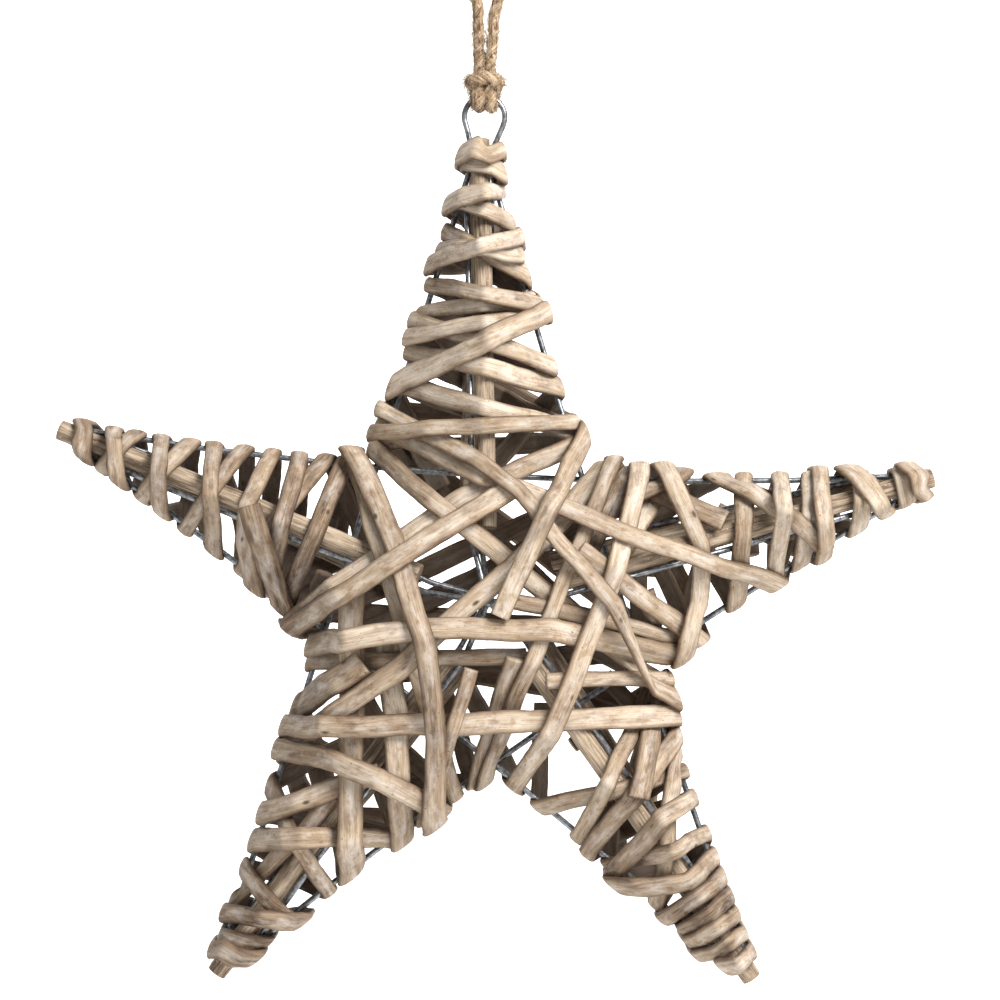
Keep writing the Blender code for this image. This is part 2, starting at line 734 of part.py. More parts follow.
def lay(stretch, relief, has_start, has_end):
    """Pulls a stretch taut over what is already there. Returns the middle surface's two edges."""
    facing = FACING[stretch.face]
    first, last = stretch.first, stretch.last
    share = np.linspace(0, 1, 7)
    plan = stretch.plan_a[:, None] + (stretch.plan_b - stretch.plan_a)[:, None] * share[None, :, None]
    found = relief.read(plan) + LAYING_GAP + STRIP_THICKNESS / 2
    middle = (stretch.plan_a + stretch.plan_b) / 2
    along = np.concatenate([[0], np.cumsum(np.linalg.norm(np.diff(middle, axis=0), axis=1))])
    need_a, need_b = found[:, :4].max(axis=1), found[:, 3:].max(axis=1)
    least = WIRE_DIAMETER / 2 + LAYING_GAP + STRIP_THICKNESS / 2
    for need in (need_a, need_b):
        need[0], need[-1] = max(need[0], least), max(need[-1], least)
    high_a, high_b = upper_hull(along, need_a), upper_hull(along, need_b)
    slack = MOST_TILT * np.linalg.norm(stretch.plan_a - stretch.plan_b, axis=1)
    high_a, high_b = np.maximum(high_a, high_b - slack), np.maximum(high_b, high_a - slack)
    curve = np.column_stack([stretch.plan_a, high_a, stretch.plan_b, high_b])[first : last + 1]
    most = MOST_STATIONS if along[last] - along[first] > LONG_STRETCH else MOST_STATIONS - 1
    keep = np.array(chosen_stations(curve, STATION_FIT, most)) + first
    plan_a, plan_b = stretch.plan_a[keep], stretch.plan_b[keep]
    high = np.column_stack([high_a[keep], high_b[keep]])
    if has_start:
        corner = stretch.start_corner
        plan_a, plan_b = np.vstack([corner[:1], plan_a]), np.vstack([corner[1:], plan_b])
        high = np.vstack([high[:1] * FOLD_CORNER_UP, high])
    if has_end:
        corner = stretch.end_corner
        plan_a, plan_b = np.vstack([plan_a, corner[:1]]), np.vstack([plan_b, corner[1:]])
        high = np.vstack([high, high[-1:] * FOLD_CORNER_UP])
    tilt = MOST_TILT * np.linalg.norm(plan_a - plan_b, axis=1)[:, None]
    for _ in range(FITTING_ROUNDS):
        edges, under = stretch_edges(plan_a, plan_b, high, stretch, has_start, has_end)
        lift = np.zeros_like(high)
        for j, u, w, short in shortfalls(under, relief, facing):
            if short.max() < FITTED_WITHIN:
                continue
            weights = np.array([[(1 - u) * (1 - w), (1 - u) * w], [u * (1 - w), u * w]])
            needed = (short * weights / (weights**2).sum(axis=(0, 1))).max(axis=(2, 3))
            lift[j : j + 2] = np.maximum(lift[j : j + 2], needed)
        if lift.max() <= 0:
            break
        high = high + lift * FITTING_STEP
        high = np.maximum(high, high[:, ::-1] - tilt)
    edges, under = stretch_edges(plan_a, plan_b, high, stretch, has_start, has_end)
    still = max(short.max() for _, _, _, short in shortfalls(under, relief, facing))
    if still > FITTED_WITHIN:
        edges, under = stretch_edges(plan_a, plan_b, high + still, stretch, has_start, has_end)
    upper = faces_of(*edges, stretch, has_start, has_end, 1)
    for one, other in (upper, under, (upper[0], under[0]), (upper[1], under[1])):
        write_surface(relief, one, other, facing)
    return edges


def stretch_edges(plan_a, plan_b, high, stretch, has_start, has_end):
    """The two edges of a stretch's middle surface at given heights, and those of its inner surface."""
    facing = FACING[stretch.face]
    edge_a = np.column_stack([plan_a[:, 0], facing * high[:, 0], plan_a[:, 1]])
    edge_b = np.column_stack([plan_b[:, 0], facing * high[:, 1], plan_b[:, 1]])
    return (edge_a, edge_b), faces_of(edge_a, edge_b, stretch, has_start, has_end, -1)


def patches(edge_a, edge_b, cells):
    """Each four-sided patch of a surface, with shares along and across it and the points that they give."""
    for j in range(len(edge_a) - 1):
        corners = np.array([edge_a[j], edge_b[j], edge_a[j + 1], edge_b[j + 1]])
        span = np.linalg.norm(corners[2] + corners[3] - corners[0] - corners[1]) / 2
        wide = np.linalg.norm(corners[1] - corners[0])
        u = np.linspace(0, 1, max(3, int(span * cells / MAP_CELL) + 1))[:, None]
        w = np.linspace(0, 1, max(5, int(wide * cells / MAP_CELL)))[None, :]
        u, w = u + 0 * w, w + 0 * u
        near = corners[0] * (1 - w[..., None]) + corners[1] * w[..., None]
        far = corners[2] * (1 - w[..., None]) + corners[3] * w[..., None]
        spot = near * (1 - u[..., None]) + far * u[..., None]
        yield j, corners, u, w, spot[..., [0, 2]]


def shortfalls(under, relief, facing):
    """How far each patch of an inner surface is short of clearing the work below it."""
    for j, corners, u, w, plan in patches(*under, 1.0):
        lowest, _ = patch_heights(facing * corners[:, 1], u, w)
        yield j, u, w, relief.read(plan) + LAYING_GAP - lowest


def faces_of(edge_a, edge_b, stretch, has_start, has_end, side):
    """The edges of a stretch's outer (1) or inner (-1) surface."""
    facing = FACING[stretch.face]
    a, b = edge_a, edge_b
    drop = np.array([0.0, facing * CORNER_DROP, 0.0])
    if has_start:
        a, b = np.vstack([a[:1] - drop, a]), np.vstack([b[:1] - drop, b])
    if has_end:
        a, b = np.vstack([a, a[-1:] - drop]), np.vstack([b, b[-1:] - drop])
    normals = section_normals(a, b, 1.0)
    middle = len(a) // 2
    if normals[middle][1] * facing < 0:
        normals = -normals
    start = 1 if has_start else 0
    normals = normals[start : start + len(edge_a)]
    offset = normals * STRIP_THICKNESS / 2 * side
    return edge_a + offset, edge_b + offset


def write_surface(relief, edge_a, edge_b, facing):
    """Marks a surface of a laid stretch."""
    for _, corners, u, w, plan in patches(edge_a, edge_b, MARKS_PER_CELL):
        _, highest = patch_heights(facing * corners[:, 1], u, w)
        relief.write(plan, highest)


def ray_fold(fold, way):
    """The fold on the far side of the star that a direction from this fold points to."""
    best = None
    for arm in ARMS:
        for side in (CLOCKWISE, COUNTER):
            for distance in FAR_FOLDS:
                place, _, out = side_point(arm, side, distance)
                gone = place - fold.place
                if min(gone @ out, -(gone @ fold.out)) < NEAREST_SIDE:
                    continue
                miss = abs(unit(gone) @ across(way)) + (WRONG_WAY if gone @ way < 0 else 0)
                if best is None or miss < best[0]:
                    name = [key for key, value in SIDES[arm].items() if value == side][0]
                    best = (miss, arm, name, distance / MM)
    return Fold(*best[1:])


def strip_edges(row, reliefs, piles):
    """Lays one strip over the work so far. Returns the two edges of its middle surface."""
    name, width, folds, options = row
    width = width * MM
    folds = [Fold(*fold) for fold in folds]
    sways = {key: value * MM for key, value in options.get("sway", {}).items()}
    cut_start, cut_end = options.get("cut_start", 0.0), options.get("cut_end", 0.0)
    tail = options["tail"] * MM if "tail" in options else TAIL_LENGTH
    real = folds[1 if cut_start else 0 : len(folds) - (1 if cut_end else 0)]
    jobs = []
    for k in range(len(folds) - 1):
        face = FRONT if k % 2 == 0 else BACK
        jobs.append((folds[k], folds[k + 1], face, sways.get(k, 0.0), k))
    halves = {}
    for start, end, face, sway, k in jobs:
        bulge = bulge_of(start, end, sway)
        halves[(id(start), face)] = width / 2 * math.hypot(1, lean_of(start, end, bulge))
        halves[(id(end), face)] = width / 2 * math.hypot(1, lean_of(end, start, bulge))
    tails = []
    for fold, cut, at_start in ((folds[0], cut_start, True), (folds[-1], cut_end, False)):
        if cut:
            continue
        other = folds[1] if at_start else folds[-2]
        used = jobs[0][2] if at_start else jobs[-1][2]
        came = unit(fold.place - other.place)
        way = came - 2 * (came @ fold.out) * fold.out
        far = ray_fold(fold, way)
        tails.append((fold, far, BACK if used == FRONT else FRONT, at_start))
        halves[(id(fold), tails[-1][2])] = halves[(id(fold), used)]
        halves[(id(far), tails[-1][2])] = width / 2
    for fold in real:
        pile_up(piles, fold, max(halves[(id(fold), FRONT)], halves[(id(fold), BACK)]))

    pieces = []

    def add(start, end, face, sway, k, first, last, has_start, has_end):
        turn = 1 if k % 2 == 0 else -1
        ends = (halves[(id(start), face)], halves[(id(end), face)])
        stretch = Stretch(start, end, face, ends, width, sway, first, last, turn)
        pieces.append((k, *lay(stretch, reliefs[face], has_start, has_end)))

    def share_of(start, end):
        return min(MOST_TAIL_SHARE, tail / np.linalg.norm(end.place - start.place))

    for fold, far, face, at_start in tails:
        if at_start:
            add(far, fold, face, 0.0, -1, 1 - share_of(fold, far), 1.0, False, True)
    for start, end, face, sway, k in jobs:
        first = cut_start if k == 0 else 0.0
        last = 1 - cut_end if k == len(jobs) - 1 else 1.0
        add(start, end, face, sway, k, first, last, first == 0.0, last == 1.0)
    for fold, far, face, at_start in tails:
        if not at_start:
            add(fold, far, face, 0.0, len(folds) - 1, 0.0, share_of(fold, far), True, False)
    pieces.sort(key=lambda piece: piece[0])
    edge_a = np.vstack([piece[1] for piece in pieces])
    edge_b = np.vstack([piece[2] for piece in pieces])
    return edge_a, edge_b


def strip_object(name, edge_a, edge_b, finish, collection):
    """A strip as a solid: its flat inner face lies on the work, and its outer face is narrower, like split cane."""
    normals = section_normals(edge_a, edge_b, 1.0)
    front = int(np.argmin((edge_a + edge_b)[:, 1]))
    if normals[front][1] > 0:
        normals = -normals
    offset = normals * STRIP_THICKNESS / 2
    crown = (edge_b - edge_a) * CROWN_SHARE
    rings = [edge_a - offset, edge_b - offset, edge_b + offset - crown, edge_a + offset + crown]
    count = len(edge_a)
    points = [to_world((p[0], p[2]), p[1]) for station in zip(*rings) for p in station]
    faces = []
    for j in range(count - 1):
        for i in range(4):
            k = (i + 1) % 4
            faces.append((4 * j + i, 4 * j + k, 4 * j + 4 + k, 4 * j + 4 + i))
    faces.append((3, 2, 1, 0))
    faces.append(tuple(4 * (count - 1) + i for i in range(4)))
    if volume_of(points, faces) < 0:
        faces = [face[::-1] for face in faces]
    mesh = bpy.data.meshes.new(name)
    mesh.from_pydata(points, [], faces)
    mesh.update()
    made = bpy.data.objects.new(name, mesh)
    collection.objects.link(made)
    made.data.materials.append(finish)
    return made


def volume_of(points, faces):
    """The volume inside four-sided faces, which is negative when they face in."""
    corners = np.array(points)[np.array(faces)]
    first = (np.cross(corners[:, 0], corners[:, 1]) * corners[:, 2]).sum()
    second = (np.cross(corners[:, 0], corners[:, 2]) * corners[:, 3]).sum()
    return (first + second) / 6


def wire(name, route, diameter, finish, collection, closed=False, sides=2):
    """A round wire along a row of points, as a curve."""
    curve = bpy.data.curves.new(name, "CURVE")
    curve.dimensions = "3D"
    curve.bevel_depth = diameter / 2
    curve.bevel_resolution = sides
    curve.use_fill_caps = not closed
    spline = curve.splines.new("POLY")
    spline.points.add(len(route) - 1)
    for point, place in zip(spline.points, route):
        point.co = (*place, 1.0)
    spline.use_cyclic_u = closed
    made = bpy.data.objects.new(name, curve)
    collection.objects.link(made)
    curve.materials.append(finish)
    return made


def as_mesh(made, collection):
    """A curve object turned into a mesh object with welded caps."""
    graph = bpy.context.evaluated_depsgraph_get()
    mesh = bpy.data.meshes.new_from_object(made.evaluated_get(graph))
    shape = bmesh.new()
    shape.from_mesh(mesh)
    bmesh.ops.remove_doubles(shape, verts=shape.verts, dist=1e-6)
    shape.to_mesh(mesh)
    shape.free()
    name = made.name
    matrix = made.matrix_world.copy()
    bpy.data.objects.remove(made)
    mesh.name = name
    solid = bpy.data.objects.new(name, mesh)
    solid.matrix_world = matrix
    collection.objects.link(solid)
    return solid


def fuse(made, others):
    """Joins helpers, which stay hidden, to a solid."""
    for other in others:
        other.hide_render = True
        other.display_type = "WIRE"
        union = made.modifiers.new(other.name, "BOOLEAN")
        union.operation = "UNION"
        union.object = other
        union.solver = "EXACT"


def ribs(face, name, finish, parts, helpers):
    """Five ribs that meet at the hub, as one piece."""
    spokes = []
    for arm in ARMS:
        route = [to_world(point[:2], point[2]) for point in rib_route(arm, face)]
        spoke = wire(f"{name}_{arm}", route, WIRE_DIAMETER, finish, helpers, sides=1)
        bpy.context.view_layer.update()
        spokes.append(as_mesh(spoke, helpers))
    middle = to_world((0.0, 0.0), HUB_DEPTH * FACING[face])
    bpy.ops.mesh.primitive_ico_sphere_add(subdivisions=1, radius=HUB_BALL_RADIUS, location=middle)
    hub = bpy.context.object
    for collection in hub.users_collection:
        collection.objects.unlink(hub)
    hub.data.materials.append(finish)
    parts.objects.link(hub)
    hub.name = name
    fuse(hub, spokes)
    return hub


def loop_route():
    """The jute loop as (x, z, depth): up from the knot, round the hanging point and down again."""
    start = KNOT_TOP + CLEARANCE
    centre = STAR_DROP + TWINE_DIAMETER / 2 - LOOP_RADIUS
    flare = centre - FLARE_RADII * LOOP_RADIUS
    strand = []
    for height in np.linspace(start, centre, 8)[:-1]:
        aside = STRAND_SPACING / 2 + STRAND_SPREAD * (height - start)
        share = max(0.0, (height - flare) / (centre - flare))
        blend = share * share * (3 - 2 * share)
        strand.append((aside * (1 - blend) + LOOP_RADIUS * blend, height))
    left = [(loop_middle(height) - aside, height, 0.0) for aside, height in strand]
    right = [(loop_middle(height) + aside, height, 0.0) for aside, height in strand[::-1]]
    bight = []
    for turn in np.linspace(180, 0, 10):
        angle = math.radians(turn)
        bight.append((LOOP_RADIUS * math.cos(angle), centre + LOOP_RADIUS * math.sin(angle), 0.0))
    return left + bight + right


def loop_middle(height):
    """The sideways place of the loop's middle line, which runs straight from the knot to the hanging point."""
    top = STAR_DROP + TWINE_DIAMETER / 2 - LOOP_RADIUS
    return EYE_CENTRE[0] * (top - height) / (top - KNOT_TOP)


def knot_route():
    """The hitch as (x, z, depth): down in front, under the eye's wire, up behind, and across the front."""
    top = EYE_CENTRE[1] + EYE_RADIUS
    round_wire = (WIRE_DIAMETER + TWINE_DIAMETER) / 2 + 2 * CLEARANCE
    half = STRAND_SPACING / 2
    tuck = KNOT_TUCK
    side = [
        (half, KNOT_TOP - top, 0.0),
        (half, KNOT_TOP - top - 0.0016, 0.0),
        (half + 0.0002, 0.0034, -round_wire + 0.0006),
        (half + 0.0004, 0.0004, -round_wire),
        (tuck, -0.0028, -round_wire * 0.76),
        (tuck + 0.0002, -0.0041, 0.0),
        (tuck + 0.0004, -0.0028, round_wire * 0.76),
        (tuck + 0.0010, 0.0008, round_wire + 0.0002),
        (tuck + 0.0019, 0.0036, round_wire - 0.0003),
        (tuck + 0.0027, 0.0050, 0.0010),
        (tuck + 0.0029, 0.0046, -0.0022),
        (tuck + 0.0020, 0.0050, -0.0050),
        (tuck - 0.0006, 0.0060, -0.0062),
    ]
    left = [(EYE_CENTRE[0] - x, top + z, y) for x, z, y in side]
    right = [(EYE_CENTRE[0] + x, top + z, y) for x, z, y in side[::-1]]
    return left + right


def cane(arm, face, name, finish, parts):
    """A willow cane along one ridge, from its cut end at the tip towards the hub."""
    outer, outer_depth = ridge_point(arm, face, TIP_RADIUS)
    inner, inner_depth = ridge_point(arm, face, CANE_HUB_GAP)
    a = Vector(to_world(outer, outer_depth))
    b = Vector(to_world(inner, inner_depth))
    bpy.ops.mesh.primitive_cylinder_add(vertices=12, radius=CANE_DIAMETER / 2, depth=(b - a).length)
    made = bpy.context.object
    made.name = name
    made.location = (a + b) / 2
    made.rotation_mode = "QUATERNION"
    made.rotation_quaternion = (b - a).to_track_quat("Z", "Y")
    for collection in made.users_collection:
        collection.objects.unlink(made)
    parts.objects.link(made)
    made.data.materials.append(finish)
    made.data.shade_smooth()
    made.data.set_sharp_from_angle(angle=SMOOTH_UP_TO)
    return made


def main():
    for old in list(bpy.data.objects):
        bpy.data.objects.remove(old)
    scene = bpy.context.scene
    parts = bpy.data.collections.new("wicker_star_ornament")
    helpers = bpy.data.collections.new("cutters")
    scene.collection.children.link(parts)
    scene.collection.children.link(helpers)

    zinc = material("galvanised_wire", "8C9096", 0.35, 0.9)
    bark = material("willow_cane", "8F7B64", 0.7)
    jute = material("jute_twine", "C19A6E", 0.9)
    shades = [
        material("split_willow_pale", "CDBBA5", 0.65),
        material("split_willow_brown", "AE967A", 0.68),
    ]

    route = star_wire_route()
    wire(
        "star_wire_with_eye",
        [to_world(point[:2], point[2]) for point in route],
        WIRE_DIAMETER,
        zinc,
        parts,
        closed=True,
        sides=1,
    )
    for name, path in (("jute_loop", loop_route()), ("jute_knot", knot_route())):
        wire(name, [to_world(point[:2], point[2]) for point in path], TWINE_DIAMETER, jute, parts)
    reliefs = {FRONT: Relief(FRONT), BACK: Relief(BACK)}
    write_tube(reliefs, route + route[:1], WIRE_DIAMETER / 2)
    for face, word in ((FRONT, "front"), (BACK, "back")):
        ribs(face, f"{word}_rib_wires", zinc, parts, helpers)
        for arm in ARMS:
            write_tube(reliefs, rib_route(arm, face), WIRE_DIAMETER / 2)
            cane(arm, face, f"{word}_cane_{arm}_arm", bark, parts)
            ends = [ridge_point(arm, face, distance) for distance in (TIP_RADIUS, CANE_HUB_GAP)]
            write_tube(reliefs, [(*place, depth) for place, depth in ends], CANE_DIAMETER / 2)
    piles = {}
    for number, row in enumerate(STRIPS):
        edge_a, edge_b = strip_edges(row, reliefs, piles)
        brown = row[0].startswith(("left", "low_left")) or number % 3 == 0
        strip_object(row[0], edge_a, edge_b, shades[1 if brown else 0], parts)


main()
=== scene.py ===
"""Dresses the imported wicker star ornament: split willow over wire and cane, and a jute loop. Run as a script.

The star hangs in the XZ plane and its front faces -Y. Lengths are in metres, except in the table of the
willow strips, which is in millimetres. The first half of the script lays the strips over the wires and canes,
so that the visible ones lie where the plain solids lie. The second half gives each piece its fine form and
finish, and sets the stage.
"""

import math

import bmesh
import bpy
import numpy as np
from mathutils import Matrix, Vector


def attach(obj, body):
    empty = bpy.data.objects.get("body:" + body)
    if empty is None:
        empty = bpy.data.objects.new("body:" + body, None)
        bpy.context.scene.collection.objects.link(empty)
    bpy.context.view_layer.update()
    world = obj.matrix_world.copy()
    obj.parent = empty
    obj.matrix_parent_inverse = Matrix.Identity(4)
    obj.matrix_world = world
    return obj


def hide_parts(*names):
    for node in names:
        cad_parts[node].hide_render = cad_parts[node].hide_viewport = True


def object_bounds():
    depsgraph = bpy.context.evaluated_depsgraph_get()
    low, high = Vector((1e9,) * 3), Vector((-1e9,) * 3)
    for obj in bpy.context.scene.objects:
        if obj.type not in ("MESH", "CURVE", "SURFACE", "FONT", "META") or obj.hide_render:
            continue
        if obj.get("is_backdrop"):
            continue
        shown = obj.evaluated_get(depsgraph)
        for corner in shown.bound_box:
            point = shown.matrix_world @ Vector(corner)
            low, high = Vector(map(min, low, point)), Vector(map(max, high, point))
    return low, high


bl_info = {
    "name": "Wicker Star Ornament",
    "version": (1, 0, 0),
    "blender": (4, 5, 0),
    "location": "View3D > Sidebar > Wicker Star",
    "description": "Builds the visible willow, wire and twine of a hanging wicker star",
    "category": "Object",
}

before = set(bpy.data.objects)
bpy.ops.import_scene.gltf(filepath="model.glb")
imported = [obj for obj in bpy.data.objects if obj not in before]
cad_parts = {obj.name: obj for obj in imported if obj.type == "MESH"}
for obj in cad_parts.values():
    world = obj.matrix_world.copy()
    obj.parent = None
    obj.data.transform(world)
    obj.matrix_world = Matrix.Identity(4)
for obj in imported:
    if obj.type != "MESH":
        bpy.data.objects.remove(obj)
cad_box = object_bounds()

MM = 0.001

# The star
STAR_DROP = 0.2226
TIP_RADIUS = 0.158
HUB_DEPTH = 0.034
CLEARANCE = 0.0003
LAYING_GAP = 0.0004

# The galvanised wire
WIRE_DIAMETER = 0.002
WIRE_TIP_INSET = 0.004
TIP_BEND_RADIUS = 0.0026
WIRE_BOWS = {"top": 0.003, "low_right": 0.0032, "left": 0.0078, "right": 0.0052, "low_left": 0.0003}

# Where a run of the star wire crosses the next one, as a share of its length
CROSSING = 0.382
CROSSING_TOP = 0.035
CROSSING_END = 0.09

# The hanging eye at the top of the star wire
EYE_RADIUS = 0.0071
EYE_CENTRE = (-0.0012, 0.1662)
EYE_NECK = ((-0.0063, 0.1580), (0.0029, 0.1580))
EYE_OPEN_ANGLE = 30.0

# The willow canes along the ridges, and the ribs of wire beside them
CANE_DIAMETER = 0.007
CANE_HUB_GAP = 0.025
BACK_CANE_SHIFT = 0.0080
RIB_TIP_INSET = 0.018
RIB_HUB_BEND = 0.020
HUB_BALL_RADIUS = 0.0021

# The willow strips
STRIP_THICKNESS = 0.0014
TAIL_LENGTH = 0.034

# The jute loop and its knot
TWINE_DIAMETER = 0.0034
LOOP_RADIUS = 0.0068
STRAND_SPACING = 0.0036
STRAND_SPREAD = 0.052
KNOT_TOP = 0.1816
KNOT_TUCK = 0.0024

ARMS = ("top", "left", "low_left", "low_right", "right")
ARM_ANGLES = {"top": 91.0, "left": 158.3, "low_left": 233.9, "low_right": 304.9, "right": 375.4}
CLOCKWISE, COUNTER = 0, 1
SIDES = {
    "top": {"right": CLOCKWISE, "left": COUNTER},
    "left": {"upper": CLOCKWISE, "lower": COUNTER},
    "low_left": {"upper": CLOCKWISE, "lower": COUNTER},
    "low_right": {"lower": CLOCKWISE, "upper": COUNTER},
    "right": {"lower": CLOCKWISE, "upper": COUNTER},
}
RIB_SIDES = {"top": 1, "left": 1, "low_left": 1, "low_right": 1, "right": -1}
FRONT, BACK = 0, 1
FACING = {FRONT: -1.0, BACK: 1.0}


def strip(name, width, *folds, **options):
    """A strip with its folds in order."""
    return (name, width, list(folds), options)


def arm_strip(name, width, arm, first, second, turns, **options):
    """A strip that winds round one arm: each turn gives its fold on the first side and on the second."""
    folds = []
    for a, b in turns:
        folds += [(arm, first, a), (arm, second, b)]
    return strip(name, width, *folds, **options)


